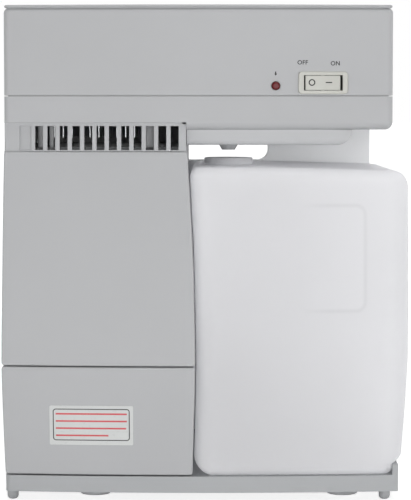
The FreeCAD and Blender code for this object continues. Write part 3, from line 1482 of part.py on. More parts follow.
save("fan_frame", make_fan_frame())
save("fan_rotor", make_fan_rotor())
save("fan_shaft", make_fan_shaft())
save("fan_motor", make_fan_motor())


# ---------------------------------------------------------------- switch and lamp
saddle = rocker_opening_z - running


def make_bezel():
    """The switch's frame on the head's face, and its skirt through the cover."""
    wide, tall = bezel_width / 2, bezel_height / 2
    frame = prism(rectangle(-wide, wide, -tall, tall, wall), "y", -bezel_proud, -snug / 2)
    frame = frame.makeFillet(bezel_proud * 0.4, [e for e in frame.Edges if e.BoundBox.YMax < 0.01 - bezel_proud])
    skirt = box(-switch_half, switch_half, -snug / 2, wall + thin_wall, -switch_tall, switch_tall)
    opening = box(-rocker_opening_x, rocker_opening_x, -2 * bezel_proud, 2 * wall + thin_wall, -rocker_opening_z,
                  rocker_opening_z)
    pin = rod(rocker_pin + shaft_clearance, (0, rocker_depth - bezel_proud, -switch_tall),
              (0, rocker_depth - bezel_proud, switch_tall))
    return on_face(together(frame, skirt).cut([opening, pin]), switch_x, switch_z)


def make_rocker():
    """The rocker: two faces that meet in a valley, on a pair of stub pins, tilted to its off side."""
    pivot_y = rocker_depth - bezel_proud
    outline = [
        (-rocker_half, pivot_y - rocker_rise, rocker_edge),
        (0, pivot_y - rocker_valley, rocker_bend),
        (rocker_half, pivot_y - rocker_rise, rocker_edge),
        (rocker_half - thin_wall, pivot_y + rocker_pin + seam, rocker_edge),
        (-rocker_half + thin_wall, pivot_y + rocker_pin + seam, rocker_edge),
    ]
    rocker = prism(outline[::-1], "z", -saddle, saddle)
    pin = rod(rocker_pin, (0, pivot_y, -switch_tall + snug), (0, pivot_y, switch_tall - snug))
    rocker = together(rocker, pin)
    rocker.rotate(V(0, pivot_y, 0), V(0, 0, 1), -rocker_tilt)
    return on_face(rocker, switch_x, switch_z)


def make_switch_body():
    """The switch's insulated body behind its frame."""
    start = wall + thin_wall
    block = box(-switch_half, switch_half, start, switch_body_depth, -switch_tall, switch_tall)
    hollow = box(-rocker_opening_x, rocker_opening_x, start, start + rocker_depth, -rocker_opening_z,
                 rocker_opening_z)
    return on_face(block.cut(hollow), switch_x, switch_z)


def make_terminals():
    """The switch's two tab terminals."""
    thin, tall = tab_thickness / 2, terminal_width / 2
    tabs = [box(x - thin, x + thin, switch_body_depth, switch_body_depth + screw_boss, -tall, tall)
            for x in (-terminal_spread, terminal_spread)]
    return [on_face(tab, switch_x, switch_z) for tab in tabs]


def make_lamp():
    """The lamp: a domed lens proud of the head's face, and a barrel with a snap collar behind it."""
    lens = rod(lamp_radius, (0, -lamp_proud - lamp_radius / 2, 0), (0, lamp_length, 0))
    tip = [e for e in lens.Edges if e.BoundBox.YMax < -lamp_proud]
    collar = rod(lamp_radius + thin_wall, (0, wall + running, 0), (0, 2 * wall, 0))
    return on_face(together(lens.makeFillet(lamp_radius / 2, tip), collar), lamp_x, lamp_z)


save("switch_bezel", make_bezel())
save("switch_rocker", make_rocker())
save("switch_body", make_switch_body())
save("switch_terminals", *make_terminals())
save("refill_lamp", make_lamp())


# ---------------------------------------------------------------- control board, mains inlet and harness
board_z = head_floor + board_stand


def make_board():
    """The control board."""
    board = box(board_x, board_x + board_width, board_y, board_y + board_depth, board_z, board_z + board_thickness)
    holes = [rod(screw_core / 2, (x, y, board_z), (x, y, board_z + board_thickness)) for x, y in board_posts()]
    return board.cut(holes)


def on_board(x, y, size):
    """A block of a given width, depth and height on the control board."""
    top = board_z + board_thickness
    return box(x, x + size[0], y, y + size[1], top, top + size[2])


def make_board_parts():
    """A transformer, a relay, a terminal strip and a capacitor on the control board."""
    top = board_z + board_thickness
    x, y = board_x + screw_boss, board_y + screw_boss
    second_x, second_y = x + transformer[0] + part_gap, y + transformer[1] + part_gap
    middle_x, middle_y = second_x + relay[0] / 2, second_y + capacitor_radius
    capacitor = rod(capacitor_radius, (middle_x, middle_y, top), (middle_x, middle_y, top + capacitor_height))
    return [
        on_board(x, y, transformer),
        on_board(second_x, y, relay),
        on_board(x, second_y, terminal_strip),
        capacitor.makeFillet(capacitor_radius / 5, level_edges(capacitor, top + capacitor_height)),
    ]


def make_inlet():
    """The mains inlet: a flange on the rear cover and a socket body through it."""
    wide, tall = inlet_flange_width / 2, inlet_flange_height / 2
    flange = prism(rectangle(inlet_x - wide, inlet_x + wide, inlet_z - tall, inlet_z + tall, inlet_corner), "y",
                   back_y, back_y + inlet_flange)
    body = box(inlet_x - inlet_body_width / 2, inlet_x + inlet_body_width / 2, back_y - inlet_body_depth, back_y,
               inlet_z - inlet_body_height / 2, inlet_z + inlet_body_height / 2)
    open_wide, open_tall = inlet_body_width / 2 - inlet_wall, inlet_body_height / 2 - inlet_wall
    round_low, round_high = inlet_corner * 0.4, inlet_corner * 0.2
    outline = [
        (inlet_x - open_wide, inlet_z - open_tall, round_low),
        (inlet_x + open_wide, inlet_z - open_tall, round_low),
        (inlet_x + open_wide, inlet_z + open_tall / 3, round_high),
        (inlet_x + open_wide / 2, inlet_z + open_tall, round_high),
        (inlet_x - open_wide / 2, inlet_z + open_tall, round_high),
        (inlet_x - open_wide, inlet_z + open_tall / 3, round_high),
    ]
    cavity = prism(outline, "y", back_y + inlet_flange - inlet_cavity_depth, back_y + inlet_flange)
    holes = [rod(screw_core / 2, (x, back_y, inlet_z), (x, back_y + inlet_flange, inlet_z))
             for x in inlet_screw_places()]
    sinks = [Part.makeCone(screw_core / 2, screw_head / 2, inlet_flange * 0.8,
                           V(x, back_y + inlet_flange * 0.2, inlet_z), V(0, 1, 0)) for x in inlet_screw_places()]
    slots = [inlet_pin(x, z, snug / 4) for x, z in inlet_pin_places()]
    return together(flange, body).cut([cavity] + holes + sinks + slots)


def inlet_pin_places():
    """The three pins of the mains inlet."""
    low, high = inlet_z - inlet_pin_shift, inlet_z + inlet_pin_shift
    return [(inlet_x - inlet_pin_spread, low), (inlet_x, high), (inlet_x + inlet_pin_spread, low)]


def inlet_pin(x, z, grow):
    """One flat pin, from its tab inside the duct to its tip inside the socket."""
    start, end = back_y - inlet_body_depth - inlet_tab, back_y + inlet_flange - inlet_recess
    thin, tall = inlet_pin_thickness / 2 + grow, inlet_pin_width / 2 + grow
    return box(x - thin, x + thin, start, end, z - tall, z + tall)


def make_inlet_screws():
    """Countersunk screws that hold the inlet to the rear cover."""
    screws = []
    for x in inlet_screw_places():
        top = back_y + inlet_flange
        head = Part.makeCone(screw_shank / 2, screw_head / 2 - snug, inlet_flange * 0.8,
                             V(x, top - inlet_flange * 0.8, inlet_z), V(0, 1, 0))
        shank = rod(screw_shank / 2, (x, back_y - wall - thin_wall, inlet_z), (x, top - inlet_flange * 0.8, inlet_z))
        screws.append(together(head, shank))
    return screws


def make_harness():
    """The sleeved wires from the inlet up the duct and forward through the head to the switch."""
    bend = 5 * cable_radius
    low = inlet_z + inlet_body_height / 2
    end = bow_y(head_front, harness_x) + switch_body_depth + screw_boss + 2 * seam
    return tube([(harness_x, cable_y, low), (harness_x, cable_y, switch_z, bend), (harness_x, end, switch_z)],
                cable_radius)


save("control_board", make_board())
save("board_components", *make_board_parts())
save("inlet_socket", make_inlet())
save("inlet_pins", *[inlet_pin(x, z, 0) for x, z in inlet_pin_places()])
save("inlet_screws", *make_inlet_screws())
save("wiring_harness", make_harness())
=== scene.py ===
import math

import bmesh
import bpy
import numpy as np
from bpy.props import FloatProperty, FloatVectorProperty, PointerProperty
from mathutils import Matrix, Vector


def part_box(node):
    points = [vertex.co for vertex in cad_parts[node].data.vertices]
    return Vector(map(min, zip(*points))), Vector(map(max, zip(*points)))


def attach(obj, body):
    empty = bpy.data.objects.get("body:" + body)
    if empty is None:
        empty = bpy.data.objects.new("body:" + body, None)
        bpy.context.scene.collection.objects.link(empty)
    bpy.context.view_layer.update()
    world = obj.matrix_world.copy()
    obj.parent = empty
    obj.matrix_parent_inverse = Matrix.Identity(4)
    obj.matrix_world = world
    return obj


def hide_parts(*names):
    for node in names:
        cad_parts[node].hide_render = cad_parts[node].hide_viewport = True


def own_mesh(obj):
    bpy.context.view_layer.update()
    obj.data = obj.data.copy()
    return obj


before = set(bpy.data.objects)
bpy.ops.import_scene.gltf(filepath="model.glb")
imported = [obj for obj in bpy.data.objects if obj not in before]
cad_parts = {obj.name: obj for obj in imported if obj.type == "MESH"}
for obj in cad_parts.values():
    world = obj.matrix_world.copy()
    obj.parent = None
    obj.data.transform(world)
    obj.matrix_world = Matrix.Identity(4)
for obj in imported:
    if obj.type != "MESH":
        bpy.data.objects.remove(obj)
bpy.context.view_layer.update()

bl_info = {
    "name": "Countertop water distiller",
    "version": (1, 0, 0),
    "blender": (4, 5, 0),
    "location": "3D View > Sidebar > Distiller",
    "description": "Finishes and moulded pieces for a countertop water distiller",
    "category": "Object",
}

MM = 0.001


def linear(code):
    """An sRGB hex colour as linear red, green and blue."""
    parts = [int(code[i:i + 2], 16) / 255 for i in (1, 3, 5)]
    return tuple(p / 12.92 if p <= 0.04045 else ((p + 0.055) / 1.055) ** 2.4 for p in parts)


def node_box(name):
    """Lowest and highest corner of a CAD node, in millimetres."""
    low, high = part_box(name)
    return np.array(low) / MM, np.array(high) / MM


# ---------------------------------------------------------------- sizes and colours a user would change
def colour(name, code, description):
    """A colour property."""
    return FloatVectorProperty(name=name, description=description, subtype="COLOR", size=3, min=0.0, max=1.0,
                               default=linear(code))


def length(name, value, description):
    """A length property, in millimetres."""
    return FloatProperty(name=name, description=description, default=value, min=0.0)


def strength(name, value, description):
    """A property for how strong a light without a unit is."""
    return FloatProperty(name=name, description=description, default=value, min=0.0)


def power(name, watts, description):
    """A property for a lamp's power."""
    return FloatProperty(name=name, description=description, default=watts, min=0.0, unit="POWER")


def metres(name, value, description):
    """A property for a distance on the stage, in metres."""
    return FloatProperty(name=name, description=description, default=value, min=0.0, unit="LENGTH")


class DistillerColours(bpy.types.PropertyGroup):
    """Colours of the moulded pieces and of the print."""

    housing: colour("Housing", "#B9BABC", "ABS of the head, the column and the two pull-out fronts")
    base: colour("Base", "#AEB0B2", "ABS of the base")
    drip_cover: colour("Drip cover", "#C2C3C5", "ABS of the cover under the head and of the nozzle")
    wall: colour("Bay wall", "#F2F3F4", "ABS of the wall behind the storage tank")
    tank: colour("Tank", "#FCFCFD", "Frosted polypropylene of the tanks")
    switch: colour("Switch", "#C5C5BE", "Moulded switch frame and rocker")
    lamp: colour("Lamp", "#64000B", "Tinted lens of the lamp")
    ink: colour("Ink", "#101012", "Pad-printed marks")
    film: colour("Label film", "#D8DAD9", "Printed film on the tray's front")
    rule_ink: colour("Rule ink", "#C8565A", "Ruled lines on the film")
    feet: colour("Feet", "#A2A3A5", "Pressed rubber of the feet")
    dark: colour("Dark nylon", "#232326", "Moulded pieces inside the housing")


class DistillerSizes(bpy.types.PropertyGroup):
    """Sizes of the moulded surfaces, in millimetres."""

    bow_radius: length("Bow radius", 1300.0, "Radius of the front's bow in plan")
    front_rim: length("Front rim", 1.1, "Rounding of the pull-out fronts' rims")
    front_corner: length("Front corner", 1.8, "Corner radius of the pull-out fronts")
    front_wall: length("Front wall", 2.5, "Thickness of the pull-out fronts")
    tank_wall: length("Tank wall", 2.0, "Thickness of the storage tank")
    tank_corner: length("Tank corner", 13.0, "Upright corners of the storage tank")
    tank_edge: length("Tank edge", 7.0, "Rounding of the storage tank's lower and upper edges")
    tank_heel: length("Tank heel", 13.0, "Rounding of the storage tank's lower left edge")
    tank_shoulder: length("Tank shoulder", 10.0, "Rounding of the storage tank's upper right edge")
    tank_gap: length("Tank gap", 0.8, "Between the storage tank and the pull-out fronts")
    tank_fall: length("Tank fall", 2.6, "How far the tank's top falls to its right shoulder")
    grip_depth: length("Grip depth", 48.0, "Depth of the grip recess in the tank's back")
    spring_wire: length("Spring wire", 0.7, "Diameter of the valve spring's wire")
    print_height: length("Print height", 0.05, "How far printed marks stand proud")
    line_width: length("Line width", 0.75, "Width of the printed ring and of the film's border")
    letter_height: length("Letter height", 2.9, "Height of the switch's letters")


class DistillerStage(bpy.types.PropertyGroup):
    """Light and camera."""

    world_level: strength("World", 0.08, "Even light from above and below")
    horizon_level: strength("Horizon", 3.0, "Brighter band all round, at the height of the eye")
    front_power: power("Front lamp", 22.0, "In front, to the right")
    fill_power: power("Fill lamp", 10.0, "In front, to the left")
    low_power: power("Low lamp", 1.5, "In front, near the floor")
    top_power: power("Top lamp", 6.0, "Overhead")
    side_power: power("Side lamp", 2.0, "At the right")
    rear_power: power("Rear lamp", 9.0, "Behind and above")
    camera_distance: metres("Camera distance", 1.465, "From the middle of the object")
    camera_height: metres("Camera height", 0.2614, "Above the floor")
    camera_tilt: FloatProperty(name="Camera tilt", description="Below the horizon", default=math.radians(3.9),
                               subtype="ANGLE")
    lens: FloatProperty(name="Lens", description="Focal length in millimetres", default=147.8, min=1.0)


# ---------------------------------------------------------------- node material helpers
NOISE_LOW, NOISE_HIGH = 0.3, 0.7   # nearly all of a noise texture's values lie between these
WAVE_LENGTH = math.pi / 10   # a wave texture repeats at this distance when its scale is one
X_AND_Z = (1.0, 0.0, 1.0)   # what a place is multiplied by, to leave out its depth
EDGE_WEAR_AND_HIGHLIGHT, EDGE_POLISH = 0.35, -0.10   # a handled edge's share of the paler tone, which is partly wear and partly painted highlight, and its change of roughness
MILK, COVER = 0.6, 0.75   # a frosted wall's share of light sent on, and how far it covers what is behind it
SHADE_FULL_BELOW, SHADE_GONE_ABOVE = 60.0, 200.0   # x + z, in millimetres, below which the storage tank's painted shade is full, and above which it is gone
PAINTED_RIM_FULL_AT, PAINTED_RIM_SHADE = 0.45, 0.35   # where across the recess its painted rim shade is full, and how dark that painted shade is


def add(tree, kind, settings=None, inputs=None):
    """Adds one node. Settings are its own options; inputs go by name or number, to a value or a socket."""
    made = tree.nodes.new(kind)
    for key, value in (settings or {}).items():
        setattr(made, key, value)
    for key, value in (inputs or {}).items():
        if isinstance(value, bpy.types.NodeSocket):
            tree.links.new(value, made.inputs[key])
        else:
            made.inputs[key].default_value = value
    return made


def start_material(name):
    """An empty node material with its shader, and the object's own coordinates."""
    material = bpy.data.materials.new(name)
    material.use_nodes = True
    tree = material.node_tree
    tree.nodes.clear()
    shader = add(tree, "ShaderNodeBsdfPrincipled")
    add(tree, "ShaderNodeOutputMaterial", None, {"Surface": shader.outputs["BSDF"]})
    place = add(tree, "ShaderNodeTexCoord").outputs["Object"]
    return material, tree, shader, place


def rgba(value):
    """A colour with full alpha."""
    return (value[0], value[1], value[2], 1.0)


def shade(value, factor):
    """A colour made darker or lighter."""
    return tuple(min(1.0, max(0.0, v * factor)) for v in value)


def grain_size(size_mm):
    """Texture scale for a pattern whose features are this many millimetres apart."""
    return 1.0 / (size_mm * MM)


def soft_edge(tree, radius_mm):
    """The normal with every hard edge rounded to a radius."""
    return add(tree, "ShaderNodeBevel", {"samples": 6}, {"Radius": radius_mm * MM}).outputs["Normal"]


def edge_nearness(tree, rounded):
    """One on an edge that soft_edge rounds, and nothing away from it: how far the normal has been turned."""
    flat = add(tree, "ShaderNodeNewGeometry").outputs["Normal"]
    same = add(tree, "ShaderNodeVectorMath", {"operation": "DOT_PRODUCT"}, {0: rounded, 1: flat})
    return add(tree, "ShaderNodeMapRange", None, {
        "Value": same.outputs["Value"], "From Min": 1.0, "From Max": 0.75, "To Min": 0.0, "To Max": 1.0,
    }).outputs["Result"]


def mottle(tree, place, size_mm, low, high):
    """Soft noise of a real size, spread between two values."""
    noise = add(tree, "ShaderNodeTexNoise", None,
                {"Vector": place, "Scale": grain_size(size_mm), "Detail": 3.0}).outputs["Fac"]
    return add(tree, "ShaderNodeMapRange", None, {
        "Value": noise, "From Min": NOISE_LOW, "From Max": NOISE_HIGH, "To Min": low, "To Max": high,
    }).outputs["Result"]


def clouds(tree, place, size_mm, first, second):
    """A colour that drifts between two tones in soft clouds of a real size."""
    drift = mottle(tree, place, size_mm, 0.0, 1.0)
    return add(tree, "ShaderNodeMix", {"data_type": "RGBA"},
               {"Factor": drift, 6: rgba(first), 7: rgba(second)}).outputs[2]


def grained(tree, place, size_mm, depth_mm, normal):
    """A normal roughened by grains of a real size and depth."""
    noise = add(tree, "ShaderNodeTexNoise", None,
                {"Vector": place, "Scale": grain_size(size_mm), "Detail": 2.0}).outputs["Fac"]
    return add(tree, "ShaderNodeBump", None,
               {"Distance": depth_mm * MM, "Height": noise, "Normal": normal}).outputs["Normal"]


def moulded_plastic(name, base, roughness=0.56, grain_mm=0.55, depth_mm=0.010, edge_mm=0.5):
    """ABS or nylon moulded in a spark-eroded tool: an even satin grain, and edges polished by handling and
    painted paler, partly as wear and partly as painted highlight.

    The real grain is about 0.1 mm, which wouldn't show, so it is drawn at about half a millimetre.
    """
    material, tree, shader, place = start_material(name)
    rounded = soft_edge(tree, edge_mm)
    near = edge_nearness(tree, rounded)
    body = clouds(tree, place, 70.0, shade(base, 0.985), shade(base, 1.015))
    # edges painted paler: partly wear, partly a painted highlight where rounded edges catch the light
    worn_and_lit = add(tree, "ShaderNodeMath", {"operation": "MULTIPLY"}, {0: near, 1: EDGE_WEAR_AND_HIGHLIGHT}).outputs["Value"]
    tone = add(tree, "ShaderNodeMix", {"data_type": "RGBA"},
               {"Factor": worn_and_lit, 6: body, 7: rgba(shade(base, 1.12))}).outputs[2]
    tree.links.new(tone, shader.inputs["Base Color"])
    dull = mottle(tree, place, 18.0, roughness - 0.03, roughness + 0.03)
    polish = add(tree, "ShaderNodeMath", {"operation": "MULTIPLY_ADD"}, {0: near, 1: EDGE_POLISH, 2: dull})
    tree.links.new(polish.outputs["Value"], shader.inputs["Roughness"])
    shader.inputs["IOR"].default_value = 1.53
    tree.links.new(grained(tree, place, grain_mm, depth_mm, rounded), shader.inputs["Normal"])
    return material


def show(tree, surface):
    """Sends a shader to the material's output."""
    out = [node for node in tree.nodes if node.type == "OUTPUT_MATERIAL"][0]
    tree.links.new(surface, out.inputs["Surface"])


def painted_recess_show_through(tree, place, low, high, corner_mm, soft_mm):
    """Painted light and shade where a recess shows through the front wall: how far a point is inside it,
    which is painted paler, and how near its rim, which is painted darker.

    The recess is a rounded rectangle in x and z. The distance from its core is the length of
    max(|p - middle| - half size + corner, 0), and the rim is where that equals the corner's radius. Both are
    nothing at the recess's left, the far side from the light. The rim has its full strength at
    PAINTED_RIM_FULL_AT of the width and from there on, and the inside has it at the right edge. Neither
    reaches past the front wall.
    """
    corner, soft = corner_mm * MM, soft_mm * MM
    middle = ((low[0] + high[0]) / 2 * MM, 0.0, (low[1] + high[1]) / 2 * MM)
    core = ((high[0] - low[0]) / 2 * MM - corner, 1.0, (high[1] - low[1]) / 2 * MM - corner)
    none = (0.0, 0.0, 0.0)
    axes = add(tree, "ShaderNodeSeparateXYZ", None, {0: place}).outputs
    local = add(tree, "ShaderNodeVectorMath", {"operation": "SUBTRACT"}, {0: place, 1: middle}).outputs[0]
    folded = add(tree, "ShaderNodeVectorMath", {"operation": "ABSOLUTE"}, {0: local}).outputs[0]
    past = add(tree, "ShaderNodeVectorMath", {"operation": "SUBTRACT"}, {0: folded, 1: core}).outputs[0]
    out = add(tree, "ShaderNodeVectorMath", {"operation": "MAXIMUM"}, {0: past, 1: none}).outputs[0]
    away = add(tree, "ShaderNodeVectorMath", {"operation": "LENGTH"}, {0: out}).outputs["Value"]
    front = add(tree, "ShaderNodeMapRange", None, {
        "Value": axes["Y"], "From Min": FRONT_WALL[0] * MM, "From Max": FRONT_WALL[1] * MM,
        "To Min": 1.0, "To Max": 0.0,
    }).outputs["Result"]
    inside = add(tree, "ShaderNodeMapRange", {"interpolation_type": "SMOOTHSTEP"}, {
        "Value": away, "From Min": corner - soft, "From Max": corner + soft, "To Min": 1.0, "To Max": 0.0,
    }).outputs["Result"]
    off = add(tree, "ShaderNodeMath", {"operation": "SUBTRACT"}, {0: away, 1: corner}).outputs["Value"]
    width = add(tree, "ShaderNodeMath", {"operation": "ABSOLUTE"}, {0: off}).outputs["Value"]
    rim = add(tree, "ShaderNodeMapRange", {"interpolation_type": "SMOOTHSTEP"}, {
        "Value": width, "From Min": 0.0, "From Max": soft, "To Min": 1.0, "To Max": 0.0,
    }).outputs["Result"]
    seen = []
    for part, full in ((inside, high[0]), (rim, low[0] + PAINTED_RIM_FULL_AT * (high[0] - low[0]))):
        lit = add(tree, "ShaderNodeMapRange", None, {
            "Value": axes["X"], "From Min": low[0] * MM, "From Max": full * MM, "To Min": 0.0, "To Max": 1.0,
        }).outputs["Result"]
        drawn = add(tree, "ShaderNodeMath", {"operation": "MULTIPLY"}, {0: front, 1: part}).outputs["Value"]
        faded = add(tree, "ShaderNodeMath", {"operation": "MULTIPLY"}, {0: drawn, 1: lit})
        seen.append(faded.outputs["Value"])
    return seen


def frosted_polypropylene(name, base, recess=None):
    """Blow-moulded polypropylene: milky and lit through its walls, with a faint flow in its thickness.

    Its walls send on about as much light as they send back (MILK), and little is seen straight through them
    (COVER). The storage tank's walls are painted darker low down on the left, as painted shade. Its recess
    lies well inside, and the front wall is painted over it with a slightly paler field of painted light and a
    soft darker rim of painted shade, because the real wall's blur is finer than the render's.
    """
    material, tree, shader, place = start_material(name)
    rounded = soft_edge(tree, 0.8)
    tone = clouds(tree, place, 45.0, shade(base, 0.980), shade(base, 0.994))
    if recess:
        # painted shade: the storage tank's walls are darker low down on the left
        rise = add(tree, "ShaderNodeVectorMath", {"operation": "DOT_PRODUCT"}, {0: place, 1: X_AND_Z})
        low_left_shade = add(tree, "ShaderNodeMapRange", {"interpolation_type": "SMOOTHSTEP"}, {
            "Value": rise.outputs["Value"], "From Min": SHADE_FULL_BELOW * MM, "From Max": SHADE_GONE_ABOVE * MM,
            "To Min": 1.0, "To Max": 0.0,
        }).outputs["Result"]
        # painted light and shade: the recess behind, shown on the front wall as a paler field with a darker
        # rim
        inside, rim = painted_recess_show_through(tree, place, *recess)
        dark = add(tree, "ShaderNodeMath", {"operation": "MULTIPLY"}, {0: rim, 1: PAINTED_RIM_SHADE}).outputs[0]
        # mixes in the low-left painted shade, the recess's painted light and its painted rim shade
        for share, tint in ((low_left_shade, shade(base, 0.94)), (inside, base), (dark, shade(base, 0.82))):
            tone = add(tree, "ShaderNodeMix", {"data_type": "RGBA"},
                       {"Factor": share, 6: tone, 7: rgba(tint)}).outputs[2]
    skin = grained(tree, place, 1.2, 0.02, rounded)
    tree.links.new(tone, shader.inputs["Base Color"])
    tree.links.new(mottle(tree, place, 6.0, 0.58, 0.66), shader.inputs["Roughness"])
    shader.inputs["IOR"].default_value = 1.49
    shader.inputs["Specular IOR Level"].default_value = 0.4
    shader.inputs["Alpha"].default_value = COVER
    tree.links.new(skin, shader.inputs["Normal"])
    through = add(tree, "ShaderNodeBsdfTranslucent", None, {"Color": tone, "Normal": skin})
    both = add(tree, "ShaderNodeMixShader", None,
               {0: MILK, 1: shader.outputs["BSDF"], 2: through.outputs["BSDF"]})
    show(tree, both.outputs["Shader"])
    return material


def rolled_metal(name, base, roughness):
    """Rolled or drawn metal with a bright finish: fine lines along the way it was worked.

    The lines are 0.4 mm apart and forty times as long.
    """
    material, tree, shader, place = start_material(name)
    rounded = soft_edge(tree, 0.3)
    drawn = add(tree, "ShaderNodeMapping", None, {"Vector": place, "Scale": (1.0, 1.0 / 40.0, 1.0)})
    lines = add(tree, "ShaderNodeTexNoise", None,
                {"Vector": drawn.outputs["Vector"], "Scale": grain_size(0.4), "Detail": 4.0}).outputs["Fac"]
    tone = clouds(tree, place, 25.0, shade(base, 0.94), shade(base, 1.03))
    tree.links.new(tone, shader.inputs["Base Color"])
    shader.inputs["Metallic"].default_value = 1.0
    spread = add(tree, "ShaderNodeMapRange", None, {
        "Value": lines, "From Min": NOISE_LOW, "From Max": NOISE_HIGH,
        "To Min": roughness - 0.05, "To Max": roughness + 0.07,
    })
    tree.links.new(spread.outputs["Result"], shader.inputs["Roughness"])
    brushed = add(tree, "ShaderNodeBump", None, {"Distance": 0.004 * MM, "Height": lines, "Normal": rounded})
    tree.links.new(brushed.outputs["Normal"], shader.inputs["Normal"])
    return material


def soft_rubber(name, base, roughness, clear=0.0):
    """Pressed rubber or silicone: dull, faintly dusty, with a fine matt skin."""
    material, tree, shader, place = start_material(name)
    rounded = soft_edge(tree, 0.6)
    tree.links.new(clouds(tree, place, 9.0, base, shade(base, 1.2)), shader.inputs["Base Color"])
    tree.links.new(mottle(tree, place, 3.0, roughness - 0.05, roughness + 0.05), shader.inputs["Roughness"])
    shader.inputs["IOR"].default_value = 1.45
    shader.inputs["Transmission Weight"].default_value = clear
    tree.links.new(grained(tree, place, 0.8, 0.02, rounded), shader.inputs["Normal"])
    return material


def board_laminate(name, base):
    """Glass-fibre laminate under solder mask: a weave of threads.

    Real threads are about 0.7 mm apart, which would hardly show, so they are drawn 1.38 mm apart.
    """
    material, tree, shader, place = start_material(name)
    rounded = soft_edge(tree, 0.2)
    threads = WAVE_LENGTH * grain_size(1.38)
    rows = [add(tree, "ShaderNodeTexWave", {"bands_direction": way},
                {"Vector": place, "Scale": threads, "Distortion": 0.4}).outputs["Fac"] for way in ("X", "Y")]
    weave = add(tree, "ShaderNodeMath", {"operation": "MULTIPLY"}, {0: rows[0], 1: rows[1]}).outputs["Value"]
    tone = add(tree, "ShaderNodeMix", {"data_type": "RGBA"},
               {"Factor": weave, 6: rgba(shade(base, 0.85)), 7: rgba(shade(base, 1.15))})
    tree.links.new(tone.outputs[2], shader.inputs["Base Color"])
    shader.inputs["Roughness"].default_value = 0.32
    shader.inputs["IOR"].default_value = 1.5
    woven = add(tree, "ShaderNodeBump", None, {"Distance": 0.01 * MM, "Height": weave, "Normal": rounded})
    tree.links.new(woven.outputs["Normal"], shader.inputs["Normal"])
    return material


def printed_film(name, base):
    """Calendered vinyl film: smooth and slightly glossy, with a fine orange-peel skin."""
    material, tree, shader, place = start_material(name)
    rounded = soft_edge(tree, 0.15)
    tone = clouds(tree, place, 12.0, shade(base, 0.98), shade(base, 1.01))
    tree.links.new(tone, shader.inputs["Base Color"])
    tree.links.new(mottle(tree, place, 2.0, 0.26, 0.34), shader.inputs["Roughness"])
    shader.inputs["IOR"].default_value = 1.5
    tree.links.new(grained(tree, place, 1.0, 0.006, rounded), shader.inputs["Normal"])
    return material


def printing_ink(name, base):
    """Pad-printed ink: an even matt film, slightly thinner here and there."""
    material, tree, shader, place = start_material(name)
    tree.links.new(clouds(tree, place, 0.8, base, shade(base, 1.3)), shader.inputs["Base Color"])
    shader.inputs["Roughness"].default_value = 0.55
    shader.inputs["IOR"].default_value = 1.5
    return material


def tinted_lens(name, base, centre, radius):
    """Tinted clear acrylic over a dark chip: softly glossy and deep in its middle, with painted shade that
    takes it nearly black at its rim.
    """
    material, tree, shader, place = start_material(name)
    rounded = soft_edge(tree, 0.3)
    local = add(tree, "ShaderNodeVectorMath", {"operation": "SUBTRACT"}, {0: place, 1: centre}).outputs[0]
    flat = add(tree, "ShaderNodeVectorMath", {"operation": "MULTIPLY"}, {0: local, 1: X_AND_Z}).outputs[0]
    reach = add(tree, "ShaderNodeVectorMath", {"operation": "LENGTH"}, {0: flat}).outputs["Value"]
    # painted shade: darker from a third of the radius out to the rim
    rim = add(tree, "ShaderNodeMapRange", None,
              {"Value": reach, "From Min": 0.35 * radius, "From Max": radius, "To Min": 0.0, "To Max": 1.0})
    glow = clouds(tree, place, 1.6, shade(base, 0.85), shade(base, 1.2))
    tone = add(tree, "ShaderNodeMix", {"data_type": "RGBA"},
               {"Factor": rim.outputs["Result"], 6: glow, 7: rgba(shade(base, 0.2))})
    tree.links.new(tone.outputs[2], shader.inputs["Base Color"])
    shader.inputs["Roughness"].default_value = 0.3
    shader.inputs["IOR"].default_value = 1.49
    shader.inputs["Specular IOR Level"].default_value = 0.3
    tree.links.new(rounded, shader.inputs["Normal"])
    return material


def loose_carbon(name, base):
    """Granular activated carbon in a mesh bag: grains about 1.5 mm across, with painted highlight on each
    grain's middle and painted shade towards the gaps between grains.
    """
    material, tree, shader, place = start_material(name)
    cells = add(tree, "ShaderNodeTexVoronoi", None, {"Vector": place, "Scale": grain_size(1.5)})
    grains = cells.outputs["Distance"]
    # painted highlight and shade: paler in each grain's middle, darker towards the gaps between grains
    tone = add(tree, "ShaderNodeMix", {"data_type": "RGBA"},
               {"Factor": grains, 6: rgba(shade(base, 1.6)), 7: rgba(base)})
    tree.links.new(tone.outputs[2], shader.inputs["Base Color"])
    shader.inputs["Roughness"].default_value = 0.8
    heap = add(tree, "ShaderNodeBump", None, {"Strength": 0.7, "Distance": 0.4 * MM, "Height": grains})
    tree.links.new(heap.outputs["Normal"], shader.inputs["Normal"])
    return material


def finish_of(name, maker, *values, **more):
    """One material by name, made the first time it is asked for."""
    found = bpy.data.materials.get(name)
    return found if found else maker(name, *values, **more)


def housing_plastic(context):
    """The grey ABS of the housing and of the two pull-out fronts."""
    return finish_of("Satin moulded ABS, grey", moulded_plastic, context.scene.distiller_colours.housing)


def stainless_steel():
    """The steel of the pan, the heater, the steam's way and the valve's spring."""
    return finish_of("Rolled stainless steel", rolled_metal, linear("#C9C8C6"), 0.30)


def finish_nodes(material, *names):
    """Gives CAD nodes a material."""
    for name in names:
        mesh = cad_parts[name].data
        mesh.materials.clear()
        mesh.materials.append(material)


# ---------------------------------------------------------------- mesh helpers
def grid_faces(rows, columns, closed=True):
    """Quads of a grid whose rows follow each other; its columns close on themselves if asked."""
    i = np.arange(rows - 1)[:, None]
    j = np.arange(columns if closed else columns - 1)[None, :]
    k = (j + 1) % columns
    corners = [i * columns + j, i * columns + k, (i + 1) * columns + k, (i + 1) * columns + j]
    return np.stack([np.broadcast_to(c, (rows - 1, j.shape[1])) for c in corners], axis=-1).reshape(-1, 4)


